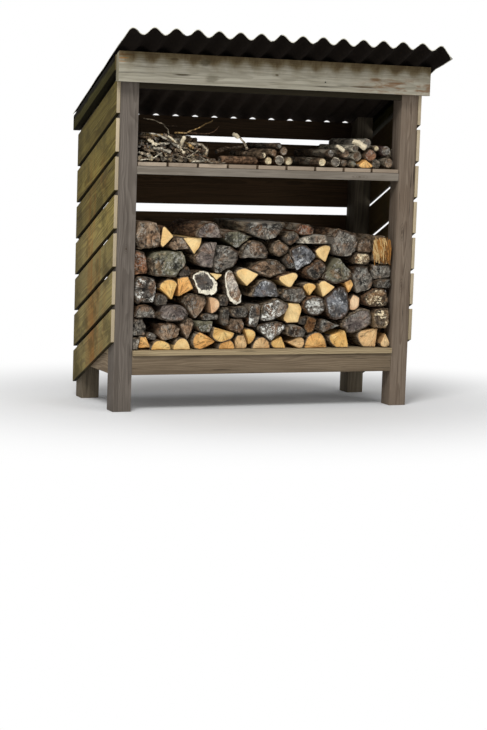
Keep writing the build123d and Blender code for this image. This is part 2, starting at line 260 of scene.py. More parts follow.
def solids_of(node):
    """The solids of a CAD node from left to right, each as the corners and faces of a closed mesh."""
    bm = bmesh.new()
    bm.from_mesh(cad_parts[node].data)
    bmesh.ops.remove_doubles(bm, verts=bm.verts, dist=SAME_POINT)
    bm.verts.index_update()
    bm.faces.index_update()
    seen = set()
    solids = []
    for start in bm.verts:
        if start.index in seen:
            continue
        seen.add(start.index)
        waiting = [start]
        members = []
        while waiting:
            vert = waiting.pop()
            members.append(vert)
            for edge in vert.link_edges:
                other = edge.other_vert(vert)
                if other.index not in seen:
                    seen.add(other.index)
                    waiting.append(other)
        place = {vert.index: i for i, vert in enumerate(members)}
        faces = {face.index: face for vert in members for face in vert.link_faces}
        corners = [vert.co.copy() for vert in members]
        in_order = [faces[index] for index in sorted(faces)]
        solids.append((corners, [[place[v.index] for v in face.verts] for face in in_order]))
    bm.free()
    solids.sort(key=lambda solid: min(c.x for c in solid[0]) + max(c.x for c in solid[0]))
    return solids


# Materials

class Value:
    """What a shader's node gives. Arithmetic with it adds more nodes."""

    def __init__(self, shader, socket):
        self.shader = shader
        self.socket = socket

    def __add__(self, other):
        if isinstance(other, tuple):
            return self.shader.take("VectorMath", {0: self, 1: other}, operation="ADD")
        return self.shader.maths("ADD", self, other)

    def __radd__(self, other):
        return self.shader.maths("ADD", other, self)

    def __sub__(self, other):
        return self.shader.maths("SUBTRACT", self, other)

    def __rsub__(self, other):
        return self.shader.maths("SUBTRACT", other, self)

    def __mul__(self, other):
        return self.shader.maths("MULTIPLY", self, other)

    def __truediv__(self, other):
        return self.shader.maths("DIVIDE", self, other)

    def __abs__(self):
        return self.shader.maths("ABSOLUTE", self)


class Shader:
    """Short calls that put together the nodes of a new material or world."""

    def __init__(self, owner):
        self.owner = owner
        owner.use_nodes = True
        self.tree = owner.node_tree
        self.tree.nodes.clear()

    def put(self, socket, value):
        """Give a socket a node's value, a number, a colour or the parts of a vector."""
        if isinstance(value, tuple) and any(isinstance(part, Value) for part in value):
            value = self.join(*value)
        if isinstance(value, Value):
            self.tree.links.new(value.socket, socket)
        elif socket.type == "VECTOR":
            socket.default_value = value[:3]
        else:
            socket.default_value = value

    def node(self, kind, inputs=None, **settings):
        """A new node of one kind, with what goes into its sockets."""
        node = self.tree.nodes.new("ShaderNode" + kind)
        for name, value in settings.items():
            setattr(node, name, value)
        for key, value in (inputs or {}).items():
            self.put(node.inputs[key], value)
        return node

    def take(self, kind, inputs=None, output=0, **settings):
        """One output of a new node."""
        return Value(self, self.node(kind, inputs, **settings).outputs[output])

    def maths(self, operation, a, b=0.0):
        """The outcome of one sum."""
        return self.take("Math", {0: a, 1: b}, operation=operation)

    def most(self, a, b):
        """The larger of two values."""
        return self.maths("MAXIMUM", a, b)

    def length(self, *parts):
        """How long the vector of these parts is."""
        return self.take("VectorMath", {0: parts}, "Value", operation="LENGTH")

    def split(self, vector):
        """The three parts of a vector or colour."""
        return [Value(self, output) for output in self.node("SeparateXYZ", {0: vector}).outputs]

    def join(self, x, y, z):
        """The vector with these parts."""
        return self.take("CombineXYZ", {0: x, 1: y, 2: z})

    def place(self):
        """Where a point is on the object."""
        return self.take("TexCoord", output="Object")

    def facing(self):
        """Which way the surface looks."""
        return self.take("NewGeometry", output="Normal")

    def kept(self, name, output="Color"):
        """What the mesh keeps for each point under a name."""
        return self.take("Attribute", output=output, attribute_name=name)

    def noise(self, vector, detail, roughness=0.55, scale=1.0):
        """Smooth noise from 0 to 1 at a place."""
        inputs = {"Vector": vector, "Scale": scale, "Detail": detail, "Roughness": roughness}
        return self.take("TexNoise", inputs, "Fac")

    def cells(self, vector, scale=1.0):
        """The distance to the nearest of scattered points, and a random colour for each."""
        node = self.node("TexVoronoi", {"Vector": vector, "Scale": scale})
        return Value(self, node.outputs["Distance"]), Value(self, node.outputs["Color"])

    def step(self, value, low, high):
        """0 below one value and 1 above another, with a soft slope between them."""
        inputs = {"Value": value, "From Min": low, "From Max": high}
        return self.take("MapRange", inputs, interpolation_type="SMOOTHSTEP")

    def mix(self, share, a, b):
        """A colour from the first one at a share of 0 to the second one at 1."""
        return self.take("Mix", {0: share, 6: a, 7: b}, 2, data_type="RGBA")

    def scaled(self, colour, factor):
        """A colour made lighter or darker by a number."""
        return self.take("VectorMath", {0: colour, "Scale": factor}, operation="SCALE")

    def surface(self, colour, roughness, height, depth, shine):
        """A surface of this colour and roughness, with relief of this depth in metres."""
        inputs = {"Base Color": colour, "Roughness": roughness, "Specular IOR Level": shine}
        inputs["Normal"] = self.take("Bump", {"Strength": 1.0, "Distance": depth, "Height": height})
        return self.take("BsdfPrincipled", inputs)

    def finish(self, *surface):
        """The material, with the surface that it shows."""
        self.node("OutputMaterial", {"Surface": self.surface(*surface)})
        return self.owner

    def white_in_view(self, share, lit, white_kind):
        """White in a share of what the camera sees directly or mirrored, or else the lit look."""
        path = self.node("LightPath")
        camera, mirror, through = [Value(self, path.outputs[f"Is {ray} Ray"]) for ray in VIEW_RAYS]
        seen = self.most(self.most(camera, mirror), through)
        white = self.take(white_kind, {"Color": WHITE, "Strength": 1.0})
        return self.take("MixShader", {0: seen * share, 1: lit, 2: white})


def new_shader(name):
    """The nodes of a new material."""
    return Shader(bpy.data.materials.new(name))


def board_shader(
    name, tones, stained=0.5, ring_gap=0.0055, contrast=0.5, knots=0.55, extra=None, shine=0.12,
):
    """Weathered sawn softwood: growth rings cut by the board's faces, knots, checks, stains and
    painted shade on the faces that look down.

    The tones are its light, dark, end and stain colours.
    """
    s = new_shader(name)
    light, dark, end, stain = [srgb(*tone) for tone in tones]
    along, across, deep = s.split(s.kept("grain", "Vector"))
    tint, end_stain = s.split(s.kept("board"))[:2]
    wander = s.noise((along * 1.6, across * 7.0, deep * 7.0), 3.0)
    gap, cell = s.cells((along * 2.3, across * 8.0, deep * 3.0))
    picked = s.step(s.split(cell)[0], 1.0 - knots * 0.5, 1.02 - knots * 0.5)
    bulge = picked * s.step(gap, 0.36, 0.03)
    distance = s.length(0.0, across, deep) + wander * 0.035 + bulge * 0.018
    turns = s.maths("FRACT", distance / ring_gap)
    ring = s.step(turns, 0.15, 0.85) * s.step(turns, 1.0, 0.9)
    fibre = s.noise((along * 9.0, across * 420.0, deep * 420.0), 3.0, 0.6)
    streak = s.noise((along * 2.6, across * 70.0, deep * 70.0), 4.0, 0.6)
    patch = s.noise((along * 3.0, across * 9.0, deep * 9.0), 5.0, 0.6)
    check = s.noise((along * 4.0, across * 150.0, deep * 150.0), 2.0, 0.5)
    check = s.step(check, 0.66, 0.72) * s.step(patch, 0.42, 0.6)
    knot = picked * s.step(gap, 0.1, 0.05)
    rim = picked * (s.step(gap, 0.06, 0.09) * s.step(gap, 0.15, 0.1))

    colour = s.mix(ring * contrast, light, dark)
    colour = s.mix(s.step(streak, 0.42, 0.7) * 0.55, colour, dark)
    colour = s.mix(s.step(patch, 0.45, 0.75) * stained, colour, stain)
    colour = s.scaled(colour, 0.78 + fibre * 0.44)
    colour = s.mix(rim * 0.6, colour, s.scaled(dark, 0.6))
    colour = s.mix(knot * 0.75, colour, s.scaled(dark, 0.75))
    colour = s.mix(check * 0.75, colour, (0.012, 0.01, 0.008, 1))
    if extra:
        colour = extra(s, colour)
    # Painted shade: faces that look down are darkened, as the undersides lie in shade.
    under = s.step(s.split(s.facing())[2], -0.55, -0.9)
    colour = s.mix(under * 0.85, colour, srgb(20, 18, 13))
    cut = s.step(s.kept("end_gap", "Fac"), 0.0008, 0.0002)
    end_colour = s.mix(ring * 0.5, end, s.scaled(end, 0.55))
    end_colour = s.mix(s.step(patch, 0.5, 0.8), end_colour, s.scaled(end, 0.6))
    end_colour = s.mix(end_stain * 0.45, end_colour, s.scaled(dark, 1.35))
    colour = s.mix(cut, colour, end_colour)
    colour = s.scaled(colour, 0.84 + tint * 0.32)
    relief = ring * -0.45 + (fibre * 0.5 - check * 1.4) + knot * 0.6
    return s.finish(colour, 0.72 + fibre * 0.2, relief, 0.0011, shine)


def header_stains_and_shade(s, colour):
    """Brown drip stains under each corrugation with painted shade of the roof along the top, rust
    brown at the header's right, and its marks.
    """
    x, _, z = s.split(s.place())
    low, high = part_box("front_header")
    phase = (x - low.x) * (2 * math.pi / CORRUGATION_PITCH)
    scallop = s.maths("COSINE", phase) * 0.011
    ragged = s.noise((x * 22.0, 0.0, z * 12.0), 5.0, 0.7)
    lines = s.noise((x * 5.0, 0.0, z * 330.0), 3.0, 0.65)
    colour = s.scaled(colour, 0.55 + lines * 0.95)
    drop = high.z - z + (scallop + (ragged - 0.5) * 0.06)
    # The brown band is drip stain, darkened further with painted shade of the roof's overhang.
    band = s.step(drop, 0.058, 0.022)
    colour = s.mix(band * 0.85, colour, srgb(96, 80, 50))
    # Painted shade: the darkest strip along the top, under the roof's edge.
    colour = s.mix(s.step(drop, 0.03, 0.01) * 0.7, colour, srgb(74, 59, 36))
    weathered = s.step(drop, 0.1, 0.05) * s.step(ragged, 0.4, 0.62)
    colour = s.mix(weathered * 0.4, colour, srgb(116, 104, 76))
    right = s.step(x, low.x + 1.1, high.x - 0.2)
    blotch = s.noise((x * 11.0, 0.0, z * 46.0), 5.0, 0.65)
    rust = right * s.step(blotch, 0.44, 0.6) * s.step(z, high.z - 0.05, high.z - 0.09)
    colour = s.mix(rust * 0.8, colour, srgb(120, 88, 58))
    for along, above, length, height, strength, tint in HEADER_MARKS.values():
        offset = ((x - (low.x + along)) * (1 / length), 0.0, (z - (low.z + above)) * (1 / height))
        away = s.length(*offset) + (blotch - 0.5) * 1.6 + (lines - 0.5) * 1.8
        colour = s.mix(s.step(away, 1.1, 0.45) * strength, colour, srgb(*tint))
    edge = s.step(z, low.z + 0.014, low.z + 0.004)
    return s.mix(edge * 0.4, colour, srgb(178, 172, 154))


def front_knots(s, colour):
    """Rings of bent grain round the knots of the posts and the rail."""
    x, _, z = s.split(s.place())
    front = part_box("front_left_post")[0].y
    swirl = s.noise((x * 60.0, 0.0, z * 30.0), 3.0, 0.6)
    for px, py, half_width, half_height in FRONT_KNOTS.values():
        centre = seen_at(px, py, front)
        offset = ((x - centre.x) * (1 / half_width), 0.0, (z - centre.z) * (1 / half_height))
        away = s.length(*offset) + (swirl - 0.5) * 0.7
        rings = s.step(s.maths("SINE", away * 17.0), -0.3, 0.9)
        colour = s.mix(s.step(away, 1.3, 0.6) * rings * 0.45, colour, srgb(66, 56, 46))
        colour = s.mix(s.step(away, 0.28, 0.16) * 0.7, colour, srgb(62, 50, 40))
    return colour


def back_shade_and_weathering(s, colour):
    """Boards darkened inside with painted shade, darkest under the roof, and weathered like the walls
    outside.
    """
    z = s.split(s.place())[2]
    outside = s.step(s.split(s.facing())[1], 0.3, 0.7)
    # Painted shade: darker toward the top, under the roof.
    colour = s.scaled(colour, 1.0 - s.step(z, 1.2, 1.3) * 0.55)
    weathered = s.mix(0.5, s.scaled(colour, 2.2), srgb(132, 117, 76))
    return s.mix(outside, colour, weathered)


def wall_stains_and_shade(s, colour):
    """Orange run-off down the middle of the side walls, a paler foot, and painted shade toward the
    top, along the rear margin and on the inner faces.
    """
    x, y, z = s.split(s.place())
    low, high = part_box("left_wall_boards")
    run = s.noise((0.0, y * 10.0, z * 1.6), 5.0, 0.65)
    middle = s.step(y, low.y + 0.05, low.y + 0.2) * s.step(y, low.y + 0.46, low.y + 0.26)
    orange = s.step(run, 0.4, 0.6) * middle * s.step(z, high.z - 0.25, high.z - 0.5)
    colour = s.mix(s.step(z, 1.05, 0.6) * 0.3, colour, srgb(142, 130, 98))
    colour = s.mix(orange * 0.65, colour, srgb(132, 84, 34))
    # Painted shade: darker toward the top, under the roof.
    colour = s.scaled(colour, 0.67 + s.step(z, 1.45, 0.75) * 0.49)
    algae = s.noise((x * 8.0, y * 8.0, z * 8.0), 5.0, 0.65)
    colour = s.mix(s.step(algae, 0.48, 0.62) * 0.55, colour, srgb(66, 58, 30))
    # Painted shade: a dark margin along the rear edge, where the roof keeps the wall in shade.
    margin = s.step(y + (run - 0.5) * 0.3, high.y - 0.2, high.y - 0.02) * 0.55
    colour = s.mix(margin, colour, srgb(62, 53, 26))
    # Painted shade: faces that look into the store are darkened.
    inside = s.step(x * s.split(s.facing())[0], -0.2, -0.5)
    return s.mix(inside * 0.8, colour, srgb(76, 60, 42))


def rake_painted_shadow(s, colour):
    """A dark band of painted shadow under the roof's edge, where the sheet keeps the rake in its
    shadow.
    """
    _, y, z = s.split(s.place())
    low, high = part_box("left_rake")
    slope = (high.z - low.z - RAKE_HEIGHT) / (high.y - low.y)
    plane = high.z + low.y * slope + y * -slope
    ragged = s.noise((0.0, y * 13.0, z * 3.0), 4.0, 0.6)
    drop = plane - z + (ragged - 0.5) * 0.03
    return s.mix(s.step(drop, 0.034, 0.018) * 0.95, colour, srgb(15, 13, 9))


def sheet_shader():
    """Black corrugated bitumen sheet: matt fibres, painted shade under its overhangs, dust in the
    troughs and a worn edge.
    """
    s = new_shader("bitumen_sheet")
    place = s.place()
    x, y, z = s.split(place)
    fibre = s.noise(place, 3.0, 0.7, scale=420.0)
    mottle = s.noise(place, 5.0, 0.65, scale=26.0)
    streak = s.noise((x * 60.0, y * 3.0, z * 3.0), 4.0, 0.6)
    above = s.kept("above", "Fac")
    # Painted shade: the underside is darker than the top.
    colour = s.mix(mottle, srgb(19, 16, 14), srgb(32, 27, 23))
    colour = s.mix(above, colour, s.mix(mottle, srgb(34, 34, 29), srgb(54, 52, 45)))
    # The underside is made lighter behind the front and side overhangs, so its near-black painted
    # shade stays under them.
    behind_overhang = s.step(y, -0.22, -0.1) * (1.0 - above) * s.step(abs(x), 0.775, 0.765)
    colour = s.scaled(colour, 1.0 + behind_overhang * 3.4)
    dust = s.step(streak, 0.45, 0.75) * above
    colour = s.mix(dust * 0.35, colour, srgb(92, 88, 70))
    moss = s.step(mottle, 0.56, 0.7) * above
    colour = s.mix(moss * 0.35, colour, srgb(66, 70, 40))
    worn = s.step(s.kept("edge_gap", "Fac"), 0.004, 0.001) * s.step(mottle, 0.34, 0.46)
    colour = s.mix(worn * 0.9, colour, srgb(216, 212, 196))
    colour = s.scaled(colour, 0.7 + fibre * 0.6)
    return s.finish(colour, 0.72 + fibre * 0.25, fibre + mottle * 0.8, 0.0012, 0.03)


def log_end_shader():
    """The cut ends of the logs: rings and cracks round the pith, lichen, rims and stains by log,
    painted shade in hollows and along aged bark rims, and painted glints among the white specks.
    """
    s = new_shader("log_ends")
    u, v, w = s.split(s.kept("pith", "Vector"))
    ring_mark, crack_mark, speck_mark = s.split(s.kept("marks"))
    rim_mark = s.kept("rim_mark", "Fac")
    edge = s.kept("edge", "Fac")
    mottle = s.kept("mottle", "Fac")
    flat = s.join(u, v, w)
    rough = s.noise(flat, 6.0, 0.66, scale=46.0)
    fine = s.noise(flat, 4.0, 0.65, scale=170.0)
    broad = s.noise(flat, 3.0, 0.5, scale=13.0)
    out = s.length(u, v, 0.0) + broad * 0.012
    turns = s.maths("FRACT", out / 0.0042)
    angle = s.maths("ARCTAN2", v, u)
    layers = s.noise((out * 210.0, angle * 5.0, w), 3.0, 0.6)
    ring = s.step(turns, 0.1, 0.8) * s.step(turns, 1.0, 0.86)
    ring = ring * 0.45 + s.step(layers, 0.4, 0.62) * 0.55
    spoke = s.noise((angle * 3.2, out * 5.0, w), 3.0, 0.6)
    crack = s.step(abs(spoke - 0.5), 0.016, 0.004) * s.step(rough, 0.34, 0.5)
    saw = s.noise((u * 22.0, v * 260.0, w), 2.0, 0.6)

    colour = s.mix(s.step(broad, 0.36, 0.64), s.kept("heart"), s.kept("outer"))
    colour = s.mix(s.step(edge, 0.55, 0.95) * 0.45, colour, s.kept("outer"))
    colour = s.scaled(colour, 1.0 - ring * ring_mark * 0.62)
    rays = s.noise((angle * 9.0, out * 26.0, w), 4.0, 0.65)
    tone = (rough - 0.5) * 2.5 + (fine - 0.5) * 1.7 + (rays - 0.5) * 3.2
    rust = s.noise(flat + (2.0, 8.0, 3.0), 3.0, 0.5, scale=16.0)
    rust = s.step(rust, 0.52, 0.66) * mottle * 0.45
    colour = s.mix(rust, colour, srgb(122, 84, 50))
    colour = s.scaled(colour, s.most(0.2, 1.0 + tone * mottle))
    colour = s.scaled(colour, 1.03 + (saw * 0.07 + mottle * 0.24))
    # Painted shade: the hollows are darkened as well as sunk in the relief.
    hollow = s.noise(flat + (3.0, 5.0, 1.0), 5.0, 0.65, scale=21.0)
    hollow = s.step(hollow, 0.48, 0.37) * mottle
    colour = s.scaled(colour, 1.0 - hollow * 0.85)
    vein = s.noise(flat + (9.0, 2.0, 4.0), 5.0, 0.65, scale=25.0)
    vein = s.step(abs(vein - 0.5), 0.03, 0.008) * s.step(rough, 0.5, 0.6) * mottle
    colour = s.mix(vein * 0.45, colour, srgb(188, 176, 156))
    worn = s.step(edge, 0.8, 0.9) * (s.step(edge, 1.0, 0.94) * s.step(rays, 0.52, 0.62))
    colour = s.mix(worn * mottle * 0.5, colour, srgb(176, 166, 146))
    # The white dots are lichen specks that also stand in for painted glints.
    gap, cell = s.cells(flat, 120.0)
    clump = s.step(s.noise(flat + (5.0, 1.0, 7.0), 3.0, 0.6, scale=19.0), 0.48, 0.57)
    dots = s.step(gap, 0.46, 0.26) * s.step(s.split(cell)[0], 0.3, 0.4)
    patches = s.step(s.noise(flat, 4.0, 0.6, scale=66.0), 0.51, 0.56)
    spots = clump * s.most(dots, patches)
    fur = s.noise(flat + (1.0, 6.0, 2.0), 5.0, 0.7, scale=24.0)
    fur = s.step(fur, 0.53, 0.57) * (s.step(broad, 0.5, 0.58) * s.step(speck_mark, 0.95, 0.99))
    spots = s.most(spots, fur * s.step(fine, 0.34, 0.48))
    colour = s.mix(spots * speck_mark, colour, s.kept("speck"))
    bark = edge + (fine - 0.5) * 0.05 + (rays - 0.35) * (mottle * 0.12)
    bark = s.step(bark + mottle * 0.06, 0.935, 0.96) * s.kept("bark", "Fac")
    # On aged logs the bark rim is darkened below its bark colour: bark with painted shade along the
    # end's edge.
    rind = s.scaled(s.kept("bark_colour"), 1.25 - mottle * 0.95)
    colour = s.mix(bark * 0.85, colour, rind)
    ragged = edge + (rough - 0.5) * 0.55 + rim_mark
    rim = s.step(ragged, 1.0, 1.03) * s.step(rim_mark, 0.01, 0.03)
    colour = s.mix(rim, colour, s.kept("speck"))
    colour = s.mix(crack * crack_mark, colour, (0.008, 0.007, 0.006, 1))
    relief = ring * -0.1 - crack * crack_mark + (rough * 2.6 - hollow * 0.8) * mottle + fine * 0.25
    return s.finish(colour, 0.62 + fine * 0.25, relief, 0.0036, 0.2)


def log_side_shader():
    """The long faces of the logs: fissured bark, or split wood with torn fibres."""
    s = new_shader("log_sides")
    x, y, z = s.split(s.place())
    shift = s.split(s.kept("pith", "Vector"))[2]
    fissure = s.noise((x * 34.0, y * 6.0 + shift, z * 34.0), 4.0, 0.6)
    groove = s.step(abs(fissure - 0.5), 0.045, 0.0)
    plate = s.noise((x * 60.0, y * 30.0 + shift, z * 60.0), 5.0, 0.65)
    fibre = s.noise((x * 230.0, y * 9.0 + shift, z * 230.0), 4.0, 0.65)
    grey = s.noise((x * 9.0, y * 7.0 + shift, z * 9.0), 4.0, 0.6)
    bark = s.kept("bark_colour")
    rind = s.mix(s.step(plate, 0.4, 0.62), s.scaled(bark, 0.45), s.scaled(bark, 1.6))
    rind = s.mix(s.step(grey, 0.5, 0.62) * 0.6, rind, srgb(150, 142, 126))
    rind = s.scaled(rind, 0.5 + fibre)
    rind = s.mix(groove * 0.85, rind, s.scaled(bark, 0.25))
    wood = s.scaled(s.kept("side_colour"), 0.15 + fibre * 1.6)
    wood = s.mix(s.step(grey, 0.45, 0.7) * 0.35, wood, s.scaled(bark, 0.8))
    share = s.step(s.kept("bark", "Fac"), 0.35, 0.65)
    colour = s.mix(share, wood, rind)
    relief = s.mix(share, fibre * 0.5, groove * -1.2 + plate)
    return s.finish(colour, 0.86, relief, 0.003, 0.15)


def floor_shader():
    """A plain pale floor that keeps the object's shadow and shows white away from it."""
    s = new_shader("studio_floor")
    place = s.place()
    x, y, _ = s.split(place)
    grain = s.noise(place, 2.0, 0.5, scale=3.0)
    pale = s.surface(s.mix(grain, FLOOR_DARK, FLOOR_LIGHT), 0.9, grain, 0.0001, 0.1)
    share = s.step(s.length(x * FLOOR_NARROWING, y, 0.0), FLOOR_FADE_START, FLOOR_FADE_END)
    s.node("OutputMaterial", {"Surface": s.white_in_view(share, pale, "Emission")})
    return s.owner


# Boards and posts

def grain_axes(bm):
    """A board's directions: along its longest edge, across it, and through its widest face."""
    longest = max(bm.edges, key=lambda edge: edge.calc_length())
    along = (longest.verts[1].co - longest.verts[0].co).normalized()
    if along[max(range(3), key=lambda i: abs(along[i]))] < 0:
        along.negate()
    sides = [face for face in bm.faces if abs(face.normal.dot(along)) < SIDE_FACE]
    through = max(sides, key=lambda face: face.calc_area()).normal.copy()
    return along, through.cross(along), through


def dressed_board(solid, rng, data):
    """One board with eased edges, sections along its length and a little warp, added to the data."""
    corners, faces = solid
    bm = bmesh.new()
    verts = [bm.verts.new(c) for c in corners]
    for face in faces:
        bm.faces.new([verts[i] for i in face])
    bmesh.ops.recalc_face_normals(bm, faces=bm.faces)
    bmesh.ops.dissolve_limit(bm, angle_limit=SAME_FACE, verts=bm.verts, edges=bm.edges)
    bm.normal_update()
    along, across, through = grain_axes(bm)
    reach = [c.dot(along) for c in corners]
    low, high = min(reach), max(reach)
    middle = sum(corners, Vector()) / len(corners)
    ends = [face for face in bm.faces if abs(face.normal.dot(along)) > END_FACE]
    planes = [(face.calc_center_median(), face.normal.copy()) for face in ends]
    bmesh.ops.bevel(
        bm, geom=list(bm.edges), offset=EASED_EDGE, segments=EDGE_STEPS, profile=0.5, affect="EDGES",
    )
    count = int((high - low) / BOARD_SECTION)
    for i in range(1, count + 1):
        point = middle + along * (low + (high - low) * i / (count + 1) - middle.dot(along))
        geom = list(bm.verts) + list(bm.edges) + list(bm.faces)
        bmesh.ops.bisect_plane(bm, geom=geom, plane_co=point, plane_no=along, dist=CUT_JOIN)
    bmesh.ops.triangulate(bm, faces=[face for face in bm.faces if len(face.verts) > 4])
    phase = rng.uniform(0, GRAIN_LENGTH)
    pith_across = rng.uniform(-PITH_ACROSS, PITH_ACROSS)
    pith_deep = rng.choice((-1, 1)) * rng.uniform(*PITH_DEPTHS)
    tint = (rng.random(), rng.random(), rng.random(), 1.0)
    base = len(data["verts"])
    bm.verts.index_update()
    for vert in bm.verts:
        offset = vert.co - middle
        deep = offset.dot(through)
        place = (offset.dot(along) + phase, offset.dot(across) + pith_across, deep + pith_deep)
        warp = noise_at(place[0] * WARP_WAVES, phase, 0.3) * BOARD_WARP
        gap = min((abs((vert.co - point).dot(normal)) for point, normal in planes), default=1.0)
        data["verts"].append(vert.co + through * min(0.0, warp) * (1 if deep > 0 else -1))
        data["grain"].append(place)
        data["board"].append(tint)
        data["end_gap"].append(gap)
    data["faces"] += [[base + v.index for v in face.verts] for face in bm.faces]
    bm.free()


def dress_boards(node, material):
    """A piece with the detailed boards of one CAD node, which it replaces."""
    rng = random.Random(node)
    data = {"verts": [], "faces": [], "grain": [], "board": [], "end_gap": []}
    for solid in solids_of(node):
        dressed_board(solid, rng, data)
    piece = mesh_object(node + "_timber", data["verts"], data["faces"])
    write_layer(piece, "FLOAT_VECTOR", "grain", data["grain"])
    write_layer(piece, "FLOAT_COLOR", "board", data["board"])
    write_layer(piece, "FLOAT", "end_gap", data["end_gap"])
    piece.data.materials.append(material)
    smooth(piece, BOARD_SMOOTH_DEG)
    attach(piece, "root")
    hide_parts(node)


# Roof sheet

def sheet_sag(x, y, low, high, header_front):
    """How far the free front and side edges hang down, more so at the right corner."""
    free = max(0.0, (header_front - y) / (header_front - low.y))
    corner = max(0.0, 1 - (high.x - x) / CORNER_SAG_WIDTH) ** 2
    left_corner = max(0.0, 1 - (x - low.x) / CORNER_SAG_WIDTH)
    side = max(0.0, 1 - (high.x - x) / SIDE_FREE_WIDTH) ** 2
    ripple = 0.5 + 0.5 * noise_at(x * FRONT_WAVES, 2.0, 0.0)
    left_edge = max(0.0, 1 - (x - low.x) / LEFT_FREE_WIDTH)
    edge_ripple = left_edge * (0.5 + 0.5 * noise_at(4.0, y * SIDE_WAVES, 0.0))
    front_sag = corner * CORNER_SAG + left_corner * LEFT_CORNER_SAG + ripple * FRONT_RIPPLE
    back_left = left_edge * max(0.0, (y - low.y) / (high.y - low.y)) * LEFT_EDGE_SAG
    return free ** FREE_BEND * front_sag + side * SIDE_SAG + edge_ripple * SIDE_RIPPLE + back_left


def sheet_faces(across, down):
    """The faces of a sheet with so many steps, its lower points before its upper ones."""
    width = across + 1
    upper = width * (down + 1)
    faces = []
    for start in range(0, down * width, width):
        for a in range(start, start + across):
            faces.append((a, a + width, a + width + 1, a + 1))
            faces.append((upper + a, upper + a + 1, upper + a + width + 1, upper + a + width))
    last = down * width
    rim = [(i, i + 1) for i in range(across)]
    rim += [(last + i + 1, last + i) for i in range(across)]
    rim += [(a + width, a) for a in range(0, last, width)]
    rim += [(a, a + width) for a in range(across, last, width)]
    return faces + [(a, b, upper + b, upper + a) for a, b in rim]


def add_roof_sheet():
    """The corrugated sheet with round waves, a worn edge and a slight sag at its free edges and
    corners.
    """
    low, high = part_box("roof_sheet")
    header_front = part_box("front_header")[0].y
    corners = [c for solid in solids_of("roof_sheet") for c in solid[0]]
    front_low = min(c.z for c in corners if c.y < low.y + 0.001)
    back_low = min(c.z for c in corners if c.y > high.y - 0.001)
    across = round((high.x - low.x) / CORRUGATION_PITCH * STEPS_PER_CORRUGATION)
    slope = math.hypot(high.y - low.y, back_low - front_low) / (high.y - low.y)
    verts, above, edge_gap = [], [], []
    for is_above, lift in ((0.0, 0.0), (1.0, SHEET_THICKNESS * slope * WORN_SHEET)):
        for j in range(STEPS_DOWN_SLOPE + 1):
            share = j / STEPS_DOWN_SLOPE
            y = low.y + (high.y - low.y) * share
            for i in range(across + 1):
                x = low.x + (high.x - low.x) * i / across
                turn = 2 * math.pi * (x - low.x - FIRST_CREST) / CORRUGATION_PITCH
                wave = CORRUGATION_DEPTH / 2 * (1 + math.cos(turn))
                uneven = noise_at(x * UNEVEN_WAVES[0], y * UNEVEN_WAVES[1], 0.0) * UNEVEN_SHEET
                z = front_low + (back_low - front_low) * share + wave * WORN_WAVE
                z += max(0.0, uneven) * 0.5 + lift - sheet_sag(x, y, low, high, header_front)
                nick = max(0.0, noise_at(x * NICK_WAVES, 7.0, share)) * NICK_DEPTH
                inward = {0: nick, STEPS_DOWN_SLOPE: -nick}.get(j, 0.0)
                verts.append((x, y + inward, z))
                above.append(is_above)
                edge_gap.append(min(abs(y - low.y), abs(y - high.y), x - low.x, high.x - x))
    piece = mesh_object("corrugated_sheet", verts, sheet_faces(across, STEPS_DOWN_SLOPE))
    write_layer(piece, "FLOAT", "above", above)
    write_layer(piece, "FLOAT", "edge_gap", edge_gap)
    piece.data.materials.append(sheet_shader())
    smooth(piece, SHEET_SMOOTH_DEG)
    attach(piece, "root")
    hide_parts("roof_sheet")


# Logs

def finish(heart, outer, ring, crack, mottle, **more):
    """How an end looks: the colours of its middle and its margin, and how strong its marks are."""
    heart, outer = srgb(*heart), srgb(*outer)
    return dict(heart=heart, outer=outer, ring=ring, crack=crack, mottle=mottle, **more)


